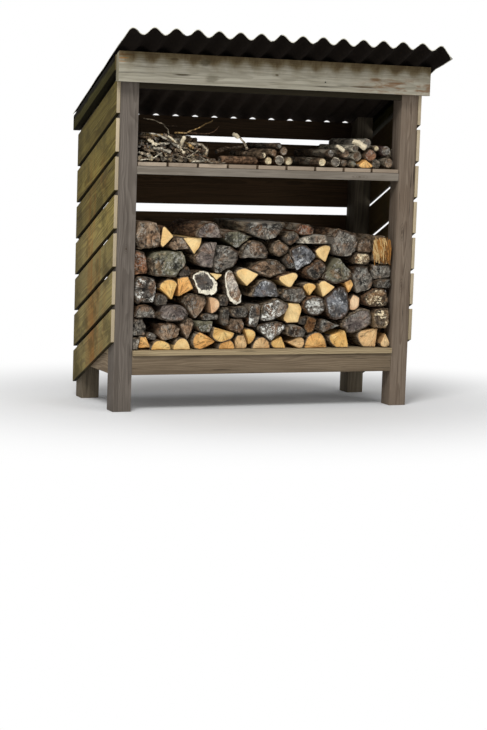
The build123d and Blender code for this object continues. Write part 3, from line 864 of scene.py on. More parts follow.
FINISHES = {
    "cream": finish((242, 212, 152), (234, 194, 130), 0.18, 0.20, 0.08),
    "yellow": finish((242, 206, 136), (224, 174, 100), 0.30, 0.50, 0.14),
    "orange": finish((246, 198, 126), (228, 168, 96), 0.36, 0.60, 0.22),
    "tan": finish((236, 202, 150), (216, 172, 118), 0.36, 0.60, 0.22),
    "pink": finish((234, 202, 162), (216, 172, 130), 0.18, 0.25, 0.12),
    "old_cream": finish(
        (240, 226, 192), (216, 194, 150), 0.35, 0.6, 0.3, speck=0.7, speck_colour=srgb(120, 84, 52),
    ),
    "stick": finish((196, 174, 138), (132, 116, 96), 0.4, 0.5, 0.7, bark=srgb(164, 150, 128)),
    "peeled": finish((222, 210, 182), (226, 212, 182), 0.2, 0.3, 0.2, bark=srgb(226, 214, 186)),
    "pale_fibre": finish((194, 164, 112), (206, 176, 122), 0.2, 0.0, 0.2),
    "orange_fibre": finish((156, 106, 50), (170, 118, 58), 0.2, 0.0, 0.2),
    "brown_fibre": finish((104, 70, 36), (122, 84, 44), 0.2, 0.0, 0.2),
    "ochre": finish((150, 120, 76), (164, 132, 84), 0.2, 0.3, 0.4, bark=srgb(160, 130, 84)),
    "whitish": finish(
        (92, 80, 68), (130, 118, 102), 0.3, 0.7, 0.8, speck=0.4, bark=srgb(206, 196, 174),
    ),
    "purplish": finish(
        (70, 62, 56), (110, 100, 90), 0.6, 0.7, 0.8,
        speck=0.6, rim=(0.06, 0.10, 0.5, 0.7), bark=srgb(88, 66, 60),
    ),
    "torn": finish((150, 108, 62), (112, 80, 48), 0.8, 0.0, 0.6),
    "dark": finish((68, 63, 58), (116, 109, 99), 0.25, 0.9, 0.95, speck=0.6),
    "black": finish((44, 40, 36), (90, 82, 72), 0.2, 0.9, 0.9, speck=0.35),
    "brown": finish((90, 72, 56), (138, 116, 94), 0.4, 0.9, 0.95, speck=0.4),
    "red_brown": finish((112, 74, 54), (146, 106, 78), 0.5, 0.9, 0.9, speck=0.5),
    "grey_blue": finish(
        (122, 124, 128), (78, 75, 73), 0.2, 0.8, 0.85, speck=0.7, speck_colour=srgb(214, 216, 216),
    ),
    "purple": finish((88, 78, 74), (120, 109, 101), 0.2, 0.8, 0.85, speck=0.4),
    "mossy": finish((80, 79, 68), (110, 106, 86), 0.2, 0.8, 0.95, speck=0.7),
    "lichen": finish(
        (66, 61, 56), (112, 105, 96), 0.15, 0.8, 1.0, speck=1.0, speck_colour=srgb(228, 227, 218),
    ),
    "spotted": finish(
        (70, 60, 50), (130, 108, 80), 0.2, 0.8, 1.0, speck=1.0, speck_colour=srgb(252, 234, 196),
    ),
    "white_rim": finish(
        (80, 76, 72), (108, 102, 96), 0.15, 0.6, 0.7,
        speck=0.4, speck_colour=srgb(252, 244, 222), rim=(0.27, 0.14, 0.7, -0.7),
    ),
    "half_rim": finish(
        (150, 143, 134), (122, 92, 66), 0.2, 0.6, 0.7,
        speck=0.5, speck_colour=srgb(248, 240, 220), rim=(0.14, 0.22, -0.8, -0.6), corner=0.03,
    ),
    "grey_ring": finish(
        (136, 128, 116), (108, 98, 86), 0.8, 0.8, 0.6,
        speck=0.4, speck_colour=srgb(222, 212, 190), rim=(0.12, 0.05, 0.7, 0.7),
    ),
    "ringed": finish((116, 78, 44), (166, 122, 74), 1.0, 0.7, 0.6),
    "pale_bark": finish(
        (100, 94, 86), (162, 154, 140), 0.2, 0.7, 0.9,
        speck=0.8, speck_colour=srgb(216, 208, 188), bark=srgb(172, 164, 148),
    ),
}
SPECK_COLOUR = srgb(176, 174, 164)
PALE_FINISHES = ("cream", "yellow", "orange", "tan", "pink")
FIBRES = ("pale_fibre", "orange_fibre", "pale_fibre", "orange_fibre", "brown_fibre", "brown_fibre")
BARE_FINISHES = ("peeled",) + FIBRES
BARKS = (srgb(112, 94, 74), srgb(92, 76, 60), srgb(124, 108, 88), srgb(104, 80, 60))

# The logs of each course from left to right: the finish of the end, its form and the turn of its
# pith from straight down, in degrees
LOGS = {
    "log_course_1": (
        ("dark", "block", 0), ("orange", "wedge", 60), ("dark", "block", 90), ("yellow", "half", 0),
        ("brown", "block", 10), ("cream", "half", 0), ("orange", "wedge", 90),
        ("yellow", "half", 165),
        ("orange", "half", 0), ("tan", "block", 0), ("yellow", "half", -70), ("tan", "half", 0),
        ("lichen", "wedge", 0), ("yellow", "wedge", 160), ("dark", "block", 120),
        ("tan", "wedge", -90),
        ("orange", "half", 0), ("yellow", "wedge", 150), ("tan", "wedge", 135),
        ("tan", "wedge", 180),
    ),
    "log_course_2": (
        ("dark", "block", 0), ("dark", "half", 0), ("purple", "block", 180), ("brown", "wedge", 0),
        ("mossy", "half", 180), ("dark", "slab", 0), ("black", "block", 0), ("brown", "block", 200),
        ("black", "block", 0), ("lichen", "block", 90), ("cream", "block", 210),
        ("black", "block", 0),
        ("ringed", "round", 0), ("dark", "wedge", 90), ("purple", "round", 0),
        ("spotted", "block", 0),
    ),
    "log_course_3": (
        ("black", "block", 0), ("brown", "wedge", 0), ("pink", "half", -80), ("black", "block", 0),
        ("lichen", "block", 20), ("dark", "block", 0), ("lichen", "round", 0),
        ("grey_blue", "round", 0),
        ("pink", "block", 0), ("spotted", "round", 0),
    ),
    "log_course_4": (
        ("lichen", "block", 90), ("yellow", "wedge", 15), ("orange", "wedge", -30),
        ("white_rim", "round", 0),
        ("cream", "wedge", 0), ("half_rim", "block", 0), ("cream", "wedge", 0),
        ("grey_blue", "half", 0),
        ("cream", "wedge", 10), ("yellow", "wedge", 0), ("cream", "wedge", -20),
        ("orange", "wedge", 0),
        ("dark", "block", 0), ("black", "block", 0),
    ),
    "log_course_5": (
        ("red_brown", "block", 0), ("mossy", "block", 150), ("black", "block", 0),
        ("purple", "half", 80),
        ("dark", "half", -75), ("brown", "round", 0), ("black", "block", 0),
        ("grey_blue", "block", 20),
        ("dark", "round", 0), ("cream", "wedge", 20), ("mossy", "wedge", 180),
        ("spotted", "round", 0),
        ("dark", "block", 0),
    ),
    "log_course_6": (
        ("brown", "block", 170), ("cream", "wedge", 90), ("brown", "block", 0),
        ("cream", "wedge", 135),
        ("purple", "half", 0), ("mossy", "wedge", 0), ("dark", "half", 0), ("dark", "half", 180),
        ("brown", "round", 0), ("black", "block", 0), ("red_brown", "block", 0),
        ("pale_bark", "slab", 0),
        ("dark", "block", -10), ("brown", "block", 0), ("torn", "plank", 90),
    ),
}


def end_outline(corners):
    """The front outline of a prism that runs along Y, as (x, z) points in order, and its two ends."""
    ends = min(c.y for c in corners), max(c.y for c in corners)
    flat = [(c.x, c.z) for c in corners if c.y < ends[0] + FRONT_FACE]
    cx = sum(p[0] for p in flat) / len(flat)
    cz = sum(p[1] for p in flat) / len(flat)
    flat.sort(key=lambda p: math.atan2(p[1] - cz, p[0] - cx))
    return flat, ends


def centre_of(outline):
    """The middle of the area inside an outline."""
    area = x = z = 0.0
    for (x0, z0), (x1, z1) in zip(outline, outline[1:] + outline[:1]):
        part = x0 * z1 - x1 * z0
        area += part
        x += (x0 + x1) * part
        z += (z0 + z1) * part
    return x / (3 * area), z / (3 * area)


def softened(outline, corner):
    """An outline with its shallow corners rounded into arcs and its sharp ones cut back a little."""
    points = []
    for i, (x, z) in enumerate(outline):
        before, after = outline[i - 1], outline[(i + 1) % len(outline)]
        turn = math.atan2(after[1] - z, after[0] - x) - math.atan2(z - before[1], x - before[0])
        turn = (turn + math.pi) % (2 * math.pi) - math.pi
        points.append((x, z, abs(turn) < ARC_TURN))
    for share in (1.0, 0.5, 0.25):
        cut = []
        for i, (x, z, shallow) in enumerate(points):
            for px, pz, _ in (points[i - 1], points[(i + 1) % len(points)]):
                length = math.hypot(px - x, pz - z)
                part = 0.25 if shallow else min(corner * share / max(length, TINY), 0.3)
                cut.append((x + (px - x) * part, z + (pz - z) * part, shallow))
        points = cut
    return [(x, z) for x, z, _ in points]


def evenly(outline, count):
    """Points at even steps round an outline."""
    lengths = [math.dist(a, b) for a, b in zip(outline, outline[1:] + outline[:1])]
    total = sum(lengths)
    points = []
    i, passed = 0, 0.0
    for k in range(count):
        goal = total * k / count
        while passed + lengths[i] < goal:
            passed += lengths[i]
            i += 1
        share = (goal - passed) / lengths[i]
        (x0, z0), (x1, z1) = outline[i], outline[(i + 1) % len(outline)]
        points.append((x0 + (x1 - x0) * share, z0 + (z1 - z0) * share))
    return points


def pith_of(outline, form, turn_deg):
    """Where the tree's heart was, seen from the log's end."""
    cx, cz = centre_of(outline)
    heading = math.radians(turn_deg - 90)
    ux, uz = math.cos(heading), math.sin(heading)
    edge = max((x - cx) * ux + (z - cz) * uz for x, z in outline)
    return cx + ux * edge * PITH_REACH[form], cz + uz * edge * PITH_REACH[form]


def new_log_data():
    """The points, faces and layers of a piece with logs, still empty."""
    names = ("verts", "faces", "kinds", "pith") + COLOUR_LAYERS + NUMBER_LAYERS
    return {name: [] for name in names}


def keep_look(data, look, count, crack, side_colour, bark_colour):
    """Keep a finish and the colours of the sides for so many points."""
    layers = {
        "heart": look["heart"],
        "outer": look["outer"],
        "speck": look.get("speck_colour", SPECK_COLOUR),
        "marks": (look["ring"], crack, look.get("speck", 0.0), 1.0),
        "mottle": look["mottle"],
        "side_colour": side_colour,
        "bark_colour": bark_colour,
    }
    for name, value in layers.items():
        data[name] += [value] * count


def add_side_faces(data, base, rings, sides):
    """The faces between rings of points, from the point at base on."""
    for first in range(base, base + (rings - 1) * sides, sides):
        for k in range(sides):
            a, b = first + k, first + (k + 1) % sides
            data["faces"].append((a, b, b + sides, a + sides))
            data["kinds"].append(1)


def rim_width(look, dx, dz):
    """How wide the pale rim of an end is on one side of the log, as a share of its size."""
    if "rim" not in look:
        return 0.0
    least, more, side_x, side_z = look["rim"]
    length = max(math.hypot(dx, dz), TINY)
    return max(0.0, least + more * (dx * side_x + dz * side_z) / length)


def pith_inside(ring, pith, centre):
    """True if the heart is well inside the log, so that bark goes all the way round."""
    nearest = min(math.dist(p, pith) for p in ring)
    return nearest > PITH_INSIDE * min(math.dist(p, centre) for p in ring)


def add_log(
    data, outline, ends, finish_name, pith, rng, rough=None, sides=LOG_SIDES, bend=0.0, turn=None,
):
    """One log: rough cut ends, and sides of bark or split wood, which follow its outline."""
    look = FINISHES[finish_name]
    pale = finish_name in PALE_FINISHES
    if rough is None:
        rough = SPLIT_ROUGH if pale else AGED_ROUGH
    y0, y1 = ends
    cx, cz = centre_of(outline)
    ring = evenly(softened(outline, look.get("corner", LOG_CORNER)), sides)
    seed = rng.uniform(0, NOISE_SPAN)
    far = [math.dist(p, pith) for p in ring]
    bark_from = max(far) * (0.0 if pith_inside(ring, pith, (cx, cz)) else BARK_FROM)
    bark = [1.0 if distance >= bark_from else 0.0 for distance in far]
    rims = [rim_width(look, x - cx, z - cz) for x, z in ring]
    bark_colour = look.get("bark", rng.choice(BARKS))
    side_tone = SPLIT_SIDE_TONE if pale else AGED_SIDE_TONE
    side_colour = tuple(c * side_tone for c in look["outer"][:3]) + (1.0,)
    tilts = [(rng.uniform(*TILTS_ACROSS), rng.uniform(*TILTS_UP)) for _ in ends]
    bows = (rng.uniform(-1, 1), rng.uniform(-1, 1))
    shift = rng.uniform(0, SHIFT_SPAN)
    base = len(data["verts"])
    placed = []

    def keep(x, y, z, edge, is_bark, rim):
        """Put one point of the log in place, with its layers, and give its number."""
        point = Vector((x, y, z))
        placed.append(turn @ point if turn else point)
        data["pith"].append((x - pith[0], z - pith[1], shift))
        data["edge"].append(edge)
        data["bark"].append(is_bark)
        data["rim_mark"].append(rim)
        return base + len(placed) - 1

    def middle(share):
        """The middle of the log at a share of its length."""
        swing = math.sin(math.pi * share) * bend
        return cx + swing * bows[0], cz + swing * bows[1] * 0.5

    def rim_point(k, y, share, inset):
        """A point of the log's side, with its lumps."""
        mx, mz = middle(share)
        thinner = 0.5 + 0.5 * noise_at(seed, share * THIN_WAVES, 3.0)
        scale = 1.0 - THIN_LEAST * rough - THIN_MORE * rough * thinner
        dx, dz = ring[k][0] - cx, ring[k][1] - cz
        across, along = LUMP_WAVES
        place = Vector((dx * across, y * along, dz * across + seed))
        lumps = noise.noise(place) * LUMP_SIZE + noise.noise(place * FINE_LUMPS) * FINE_LUMP_SIZE
        if bark[k]:
            across, along = BARK_WAVES
            lumps += noise_at(dx * across, y * along, dz * across + seed) * BARK_LUMP_SIZE
        elif pale:
            lumps *= SPLIT_LUMPS
        factor = min(1.0, scale + (lumps - LUMP_SINK) * rough)
        factor -= inset / max(math.hypot(dx, dz), TINY)
        return mx + dx * factor, mz + dz * factor

    for share in LOG_SECTIONS:
        y = y0 + (y1 - y0) * share
        inset = CUT_EDGE if share in (0.0, 1.0) else 0.0
        tilt_x, tilt_z = tilts[0] if share < 0.5 else tilts[1]
        near = max(0.0, 1 - END_FADE * min(share, 1 - share))
        inward = SET_IN if share < 0.5 else -SET_IN
        for k in range(sides):
            x, z = rim_point(k, y, share, inset)
            lean = (x - cx) * tilt_x + (z - cz) * tilt_z
            chip = noise_at(ring[k][0] * CHIP_WAVES, seed, ring[k][1] * CHIP_WAVES)
            chip *= CHIP_DEPTH * rough
            keep(x, y + (lean + chip) * near + inward * near, z, 1.0, bark[k], rims[k])
    add_side_faces(data, base, len(LOG_SECTIONS), sides)

    dished = SPLIT_DISH if pale else AGED_DISH
    for y, (tilt_x, tilt_z), inward, share in zip(ends, tilts, (1, -1), (0.0, 1.0)):
        first = base + int(share) * (len(LOG_SECTIONS) - 1) * sides
        outer = list(range(first, first + sides))
        rim = [rim_point(k, y, share, CUT_EDGE) for k in range(sides)]
        mx, mz = middle(share)
        for t in CAP_RINGS:
            inner = []
            for k in range(sides):
                x = mx + (rim[k][0] - mx) * t
                z = mz + (rim[k][1] - mz) * t
                bumps = noise_at(x * DISH_WAVES, seed, z * DISH_WAVES)
                bumps += 0.5 * noise_at(x * FINE_DISH_WAVES, seed, z * FINE_DISH_WAVES)
                lean = (x - cx) * tilt_x + (z - cz) * tilt_z
                rise = EDGE_RISE * min(1.0, (1 - t) * END_FADE)
                depth = SET_IN - rise + bumps * dished * (0.4 + 0.6 * rough)
                inner.append(keep(x, y + lean + inward * depth, z, t, bark[k], rims[k]))
            for k in range(sides):
                n = (k + 1) % sides
                data["faces"].append((outer[k], inner[k], inner[n], outer[n])[::inward])
            outer = inner
        tip = keep(mx, y + inward * TIP_DEPTH, mz, 0.0, 0.0, 0.0)
        for k in range(sides):
            data["faces"].append((outer[k], tip, outer[(k + 1) % sides])[::inward])
        data["kinds"] += [0] * (sides * (len(CAP_RINGS) + 1))
    data["verts"] += placed
    keep_look(data, look, len(placed), look["crack"], side_colour, bark_colour)


def log_piece(name, data, nodes, materials):
    """A piece from the gathered logs, in place of CAD nodes."""
    piece = mesh_object(name, data["verts"], data["faces"])
    write_layer(piece, "FLOAT_VECTOR", "pith", data["pith"])
    for layer in COLOUR_LAYERS:
        write_layer(piece, "FLOAT_COLOR", layer, data[layer])
    for layer in NUMBER_LAYERS:
        write_layer(piece, "FLOAT", layer, data[layer])
    for material in materials:
        piece.data.materials.append(material)
    piece.data.polygons.foreach_set("material_index", data["kinds"])
    smooth(piece, LOG_SMOOTH_DEG)
    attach(piece, "root")
    if nodes:
        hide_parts(*nodes)


def add_log_courses(materials):
    """The stack of split logs, one piece for each course."""
    for course, (node, finishes) in enumerate(LOGS.items()):
        rng = random.Random(31 + course)
        data = new_log_data()
        for (corners, _), (name, form, turn_deg) in zip(solids_of(node), finishes, strict=True):
            outline, ends = end_outline(corners)
            add_log(data, outline, ends, name, pith_of(outline, form, turn_deg), rng)
            if name == "torn":
                add_splinters(data, outline, ends[0], rng)
        log_piece(node + "_split", data, [node], materials)


# Shelf

# Twigs: their sides, steps between two points of the path, lean to the back, crooks, taper, the
# length that has the full taper, how uneven they are, and how near the margin their ends look
TWIG_SIDES = 7
TWIG_STEPS = 5
TWIG_LEAN = 0.06
TWIG_CROOK = 0.0035
CROOK_WAVES = 0.35
TWIG_TAPER = 0.45
LONG_TWIG = 0.15
TWIG_UNEVEN = 0.12
TWIG_SWELL = 0.25
SWELL_WAVES = 0.6
TWIG_EDGE = 0.6

# Branches: how rough and bent they are, and how far off their middle the heart can be
BRANCH_ROUGH = 1.6
BRANCH_BEND = 0.004
BRANCH_PITH = 0.2

# The heap on top of the kindling: how many twigs, how high, and how far they stray, start behind its
# front, bend, turn, reach and lift
HEAP_TWIGS = 84
HEAP_HEIGHT = 0.066
HEAP_STRAY = 0.012
HEAP_DEPTH = 0.06
HEAP_BEND = 0.05
HEAP_BEND_DEPTH = 0.12
HEAP_TURN = 0.12
HEAP_CROWN = 1.12
HEAP_REACH = (0.20, 0.30)
HEAP_LIFT = 0.02
HEAP_RADII = (0.003, 0.0075)
HEAP_FINISHES = ("stick", "brown", "dark", "black", "black", "pale_bark", "ochre", "dark")

# The twigs in front of the kindling: how many, how far in front, how far they stray, half their
# length, how steep they are, how far they bend, how high over the shelf they are at least, and how
# far past the kindling's top and sides they go
FRONT_TWIGS = 20
FRONT_REACH = (0.004, 0.020)
FRONT_STRAY = 0.01
FRONT_HALF = (0.022, 0.062)
FRONT_RISE = 0.7
FRONT_BEND = 0.003
FRONT_WOBBLE = 0.004
FRONT_TURN = 0.02
FRONT_START = 0.008
FRONT_LEAST = 0.006
FRONT_CROWN = 0.15
PAST_TOP = 0.02
PAST_RIGHT = 0.03
LEFT_MARGIN = 0.010
FRONT_RADII = (0.0024, 0.0062)
FRONT_FINISHES = ("dark", "black", "stick", "black", "brown", "whitish", "black")

# Torn fibres: how many, in how many columns, how far past the log they go, and the sizes of one
SPLINTERS = 168
SPLINTER_COLUMNS = 24
SPLINTER_MARGIN = 0.007
SPLINTER_STARTS = (0.08, 0.55)
SPLINTER_LENGTHS = (0.30, 0.50)
SPLINTER_DEPTH = 0.007
SPLINTER_LEANS = (0.004, 0.020)
SPLINTER_BULGE = 0.003
SPLINTER_PAST = 0.004
SPLINTER_RADII = (0.0012, 0.0028)

# Twigs that stand out on the shelf: their path in the photograph's pixels, how far behind the
# shelf's front they lie, their radius and their finish
TWIGS = {
    "long_bent": (
        ((171, 150), (169, 136), (168, 130), (163, 124), (153, 120), (144, 118)),
        0.12, 0.0034, "stick",
    ),
    "long_bent_side": (((163, 125), (170, 126), (177, 126)), 0.26, 0.0020, "brown"),
    "long_rising": (
        ((175, 133), (186, 133), (198, 128), (210, 122), (213, 120)),
        0.10, 0.0040, "ochre",
    ),
    "low_rising": (((190, 133), (205, 134), (214, 132), (219, 126)), 0.14, 0.0028, "brown"),
    "arched": (
        ((180, 148), (173, 143), (165, 138), (156, 134), (149, 133)),
        -0.010, 0.0056, "pale_bark",
    ),
    "white_rod": (((184, 153), (180, 149), (175, 142), (168, 136)), -0.016, 0.0064, "peeled"),
    "white_blade": (((184, 137), (182, 142), (180, 146)), -0.012, 0.0095, "peeled"),
    "grey_left": (((171, 152), (163, 150), (153, 148)), -0.012, 0.0080, "pale_bark"),
    "crooked_right": (
        ((206, 154), (208, 149), (202, 145), (193, 144), (188, 143)),
        -0.010, 0.0075, "stick",
    ),
    "under_crooked": (((204, 152), (194, 148), (186, 146)), -0.008, 0.0055, "dark"),
    "tan_chip": (((193, 148), (189, 145), (185, 143)), -0.010, 0.0070, "ochre"),
    "low_left": (((151, 156), (144, 154), (138, 152)), -0.010, 0.0060, "pale_bark"),
    "cream_chip": (((157, 145), (152, 142), (148, 140)), -0.010, 0.0065, "peeled"),
    "leaning": (((247, 149), (245, 144), (240, 138), (236, 136)), 0.08, 0.0060, "stick"),
    "leaning_tip": (((238, 137), (234, 134)), 0.09, 0.0105, "peeled"),
    "behind_log": (((216, 152), (226, 148), (242, 147)), 0.16, 0.0110, "black"),
    "grey_slant": (((243, 154), (249, 151), (255, 149)), 0.08, 0.0070, "mossy"),
    "short_upright": (((199, 160), (201, 155), (205, 152)), 0.03, 0.0060, "stick"),
    "low_right": (((196, 161), (192, 157), (186, 155)), 0.02, 0.0060, "stick"),
    "back_left": (
        ((137, 137), (150, 138), (165, 138), (181, 139), (196, 140)),
        0.44, 0.0230, "black",
    ),
    "back_left_upper": (((140, 133), (156, 135), (176, 136), (190, 137)), 0.42, 0.0100, "dark"),
    "back_right": (((393, 154), (389, 155), (380, 156)), 0.14, 0.0220, "black"),
    "stack_gap_middle": (((294, 312), (301, 312), (308, 313)), 0.30, 0.0140, "black"),
    "stack_gap_right": (((369, 331), (376, 330), (384, 329)), 0.12, 0.0150, "black"),
    "pale_slab": (((366, 148), (360, 144), (353, 141)), 0.01, 0.0150, "peeled"),
    "whitish_upper": (((344, 151), (337, 146)), 0.02, 0.0100, "peeled"),
}


def add_branches(node, finishes, materials, seed):
    """Natural branches in place of the round bars of one CAD node."""
    rng = random.Random(seed)
    data = new_log_data()
    turns = [2 * math.pi * i / BRANCH_CORNERS for i in range(BRANCH_CORNERS)]
    for i, (corners, _) in enumerate(solids_of(node)):
        low = Vector(tuple(min(c[k] for c in corners) for k in range(3)))
        high = Vector(tuple(max(c[k] for c in corners) for k in range(3)))
        middle = (low + high) / 2
        spans = high - low
        turn = None
        ends = low.y, high.y
        radius = spans.z / 2
        if spans.x > spans.y:
            quarter = Matrix.Rotation(math.pi / 2, 4, "Z")
            turn = Matrix.Translation(middle) @ quarter @ Matrix.Translation(-middle)
            ends = middle.y - spans.x / 2, middle.y + spans.x / 2
        outline = [(middle.x + radius * math.cos(a), middle.z + radius * math.sin(a)) for a in turns]
        pith = [c + rng.uniform(-BRANCH_PITH, BRANCH_PITH) * radius for c in (middle.x, middle.z)]
        add_log(
            data, outline, ends, finishes[i % len(finishes)], pith, rng,
            rough=BRANCH_ROUGH, sides=BRANCH_SIDES, bend=BRANCH_BEND, turn=turn,
        )
    log_piece(node + "_wood", data, [node], materials)


def add_shelf_split_log(materials):
    """The fresh split log between the branches."""
    (corners, _), = solids_of("shelf_split_log")
    outline, ends = end_outline(corners)
    data = new_log_data()
    add_log(data, outline, ends, "orange", pith_of(outline, "wedge", 180), random.Random(5))
    log_piece("shelf_split_log_wood", data, ["shelf_split_log"], materials)


def add_twig(data, path, radius, finish_name, rng):
    """A crooked twig along a path of points, thinner toward its far end."""
    look = FINISHES[finish_name]
    points = []
    for a, b in zip(path, path[1:]):
        points += [a.lerp(b, i / TWIG_STEPS) for i in range(TWIG_STEPS)]
    points.append(path[-1])
    seed = rng.uniform(0, NOISE_SPAN)
    base = len(data["verts"])
    bark_colour = look.get("bark", rng.choice(BARKS))
    rings = len(points)
    taper = TWIG_TAPER * min(1.0, (path[-1] - path[0]).length / LONG_TWIG)
    for i, point in enumerate(points):
        ahead = (points[min(i + 1, rings - 1)] - points[max(i - 1, 0)]).normalized()
        across = ahead.cross(Vector((0.3, 0.2, 1.0))).normalized()
        upward = across.cross(ahead)
        along = i * CROOK_WAVES
        crook = Vector((noise_at(seed, along, 1.0), 0.0, noise_at(seed, along, 9.0)))
        swell = 1 + TWIG_SWELL * noise_at(seed, i * SWELL_WAVES, 5.0)
        wide = radius * (1 - taper * i / rings) * swell
        for k in range(TWIG_SIDES):
            t = 2 * math.pi * k / TWIG_SIDES
            side = across * math.cos(t) + upward * math.sin(t)
            uneven = 1 + TWIG_UNEVEN * rng.uniform(-1, 1)
            data["verts"].append(point + crook * TWIG_CROOK + side * wide * uneven)
            data["pith"].append((side.x * wide, side.z * wide, seed))
    add_side_faces(data, base, rings, TWIG_SIDES)
    last = base + (rings - 1) * TWIG_SIDES
    data["faces"].append(tuple(base + k for k in reversed(range(TWIG_SIDES))))
    data["faces"].append(tuple(last + k for k in range(TWIG_SIDES)))
    data["kinds"] += [0, 0]
    count = rings * TWIG_SIDES
    data["edge"] += [TWIG_EDGE] * count
    data["rim_mark"] += [0.0] * count
    data["bark"] += [0.0 if finish_name in BARE_FINISHES else 1.0] * count
    keep_look(data, look, count, 0.0, look["outer"], bark_colour)


def add_splinters(data, outline, front, rng):
    """Torn fibres that hang down over the end of a log."""
    left = min(x for x, z in outline) - SPLINTER_MARGIN
    right = max(x for x, z in outline) - 2 * SPLINTER_MARGIN
    foot, top = min(z for x, z in outline), max(z for x, z in outline)
    for i in range(SPLINTERS):
        column = i % SPLINTER_COLUMNS
        x = left + (right - left) * (column + rng.uniform(0.0, 1.0)) / SPLINTER_COLUMNS
        start = top - (top - foot) * rng.uniform(*SPLINTER_STARTS)
        length = (top - foot) * rng.uniform(*SPLINTER_LENGTHS)
        y = front - rng.uniform(0.0, SPLINTER_DEPTH)
        lean = rng.uniform(*SPLINTER_LEANS)
        bend = Vector((x + lean * 0.4, y - SPLINTER_BULGE, start - length * 0.5))
        tip_z = max(foot - SPLINTER_PAST, start - length)
        tip = Vector((min(x + lean, right + SPLINTER_PAST), y, tip_z))
        first = int(column * 4 / SPLINTER_COLUMNS)
        radius = rng.uniform(*SPLINTER_RADII)
        fibre = rng.choice(FIBRES[first:first + 3])
        add_twig(data, [Vector((x, y, start)), bend, tip], radius, fibre, rng)


def crown(share):
    """How high a heap is at a share of its width, from 0 to 1."""
    return math.sin(math.pi * min(1.0, share)) ** 0.7


def add_heap(data, rng):
    """Short twigs on top of the kindling."""
    low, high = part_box("kindling_upper")
    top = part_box("kindling_top")[1].z
    for i in range(HEAP_TWIGS):
        share = (i + 0.5) / HEAP_TWIGS
        x = low.x + (high.x - low.x) * share + rng.uniform(-HEAP_STRAY, HEAP_STRAY)
        height = HEAP_HEIGHT * crown(share * HEAP_CROWN) * rng.uniform(0.0, 1.0)
        z = top + height - HEAP_STRAY * share
        y = low.y + rng.uniform(0.0, HEAP_DEPTH)
        bend_x = x + rng.uniform(-HEAP_BEND, HEAP_BEND)
        bend = Vector((bend_x, y + HEAP_BEND_DEPTH, z + rng.uniform(-HEAP_STRAY, HEAP_STRAY / 2)))
        end_x = x + rng.uniform(-HEAP_TURN, HEAP_TURN)
        end = Vector((end_x, y + rng.uniform(*HEAP_REACH), top + rng.uniform(0.0, HEAP_LIFT)))
        path = [Vector((x, y, z)), bend, end]
        add_twig(data, path, rng.uniform(*HEAP_RADII), rng.choice(HEAP_FINISHES), rng)


def add_front_twigs(data, rng):
    """Short twigs in front of the kindling, in all directions."""
    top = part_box("kindling_top")[1].z
    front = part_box("kindling_upper")[0].y
    shelf_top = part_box("shelf_boards")[1].z
    low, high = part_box("kindling_lower")
    least = shelf_top + FRONT_LEAST
    for i in range(FRONT_TWIGS):
        share = (i + 0.5) / FRONT_TWIGS
        x = low.x + (high.x - low.x) * share + rng.uniform(-FRONT_STRAY, FRONT_STRAY)
        height = (top - shelf_top + PAST_TOP) * crown(FRONT_CROWN + share) * rng.uniform(0.0, 1.0)
        z = shelf_top + FRONT_START + height
        half = rng.uniform(*FRONT_HALF)
        rise = rng.uniform(-FRONT_RISE, FRONT_RISE) * half
        y = front - rng.uniform(*FRONT_REACH)
        x = max(x, low.x + half + LEFT_MARGIN)
        start = Vector((x - half, y, max(least, z - rise)))
        bend = Vector((x, y - FRONT_BEND, z + rng.uniform(-FRONT_WOBBLE, FRONT_WOBBLE)))
        end_x = min(x + half, high.x + PAST_RIGHT)
        end = Vector((end_x, y + rng.uniform(0.0, FRONT_TURN), max(least, z + rise)))
        radius = rng.uniform(*FRONT_RADII)
        add_twig(data, [start, bend, end], radius, rng.choice(FRONT_FINISHES), rng)


def add_loose_twigs(materials):
    """The crooked twigs that stick out of the kindling, on top of it and in front of it."""
    rng = random.Random(12)
    data = new_log_data()
    for path, behind, radius, finish_name in TWIGS.values():
        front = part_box("shelf_boards")[0].y + behind
        step = TWIG_LEAN / len(path)
        points = [seen_at(px, py, front + step * i) for i, (px, py) in enumerate(path)]
        add_twig(data, points, radius, finish_name, rng)
    add_heap(data, rng)
    add_front_twigs(data, rng)
    log_piece("loose_twigs", data, [], materials)


# Camera, light and floor

def camera_axes():
    """The camera's directions: to its right, upward and ahead."""
    right = Vector((math.cos(CAMERA_YAW), -math.sin(CAMERA_YAW), 0))
    ahead = Vector((math.sin(CAMERA_YAW), math.cos(CAMERA_YAW), 0))
    up = Vector((0, 0, 1))
    ahead, up = (
        ahead * math.cos(CAMERA_PITCH) - up * math.sin(CAMERA_PITCH),
        up * math.cos(CAMERA_PITCH) + ahead * math.sin(CAMERA_PITCH),
    )
    right, up = (
        right * math.cos(CAMERA_ROLL) + up * math.sin(CAMERA_ROLL),
        up * math.cos(CAMERA_ROLL) - right * math.sin(CAMERA_ROLL),
    )
    return right, up, ahead


def seen_at(px, py, y):
    """The point on an upright plane across the store that the photograph shows at one pixel."""
    right, up, ahead = camera_axes()
    across = (px - PHOTO_WIDTH / 2) / FOCAL_PIXELS
    upward = (PHOTO_HEIGHT / 2 - py) / FOCAL_PIXELS
    ray = ahead + right * across + up * upward
    return CAMERA_PLACE + ray * ((y - CAMERA_PLACE.y) / ray.y)


def add_camera():
    """The camera at the photograph's viewing angle."""
    right, up, ahead = camera_axes()
    data = bpy.data.cameras.new("photo_camera")
    data.sensor_width = SENSOR
    data.lens = FOCAL_PIXELS / PHOTO_HEIGHT * SENSOR
    camera = bpy.data.objects.new("photo_camera", data)
    turn = Matrix((right, up, -ahead)).transposed().to_4x4()
    camera.matrix_world = Matrix.Translation(CAMERA_PLACE) @ turn
    bpy.context.scene.collection.objects.link(camera)
    bpy.context.scene.camera = camera


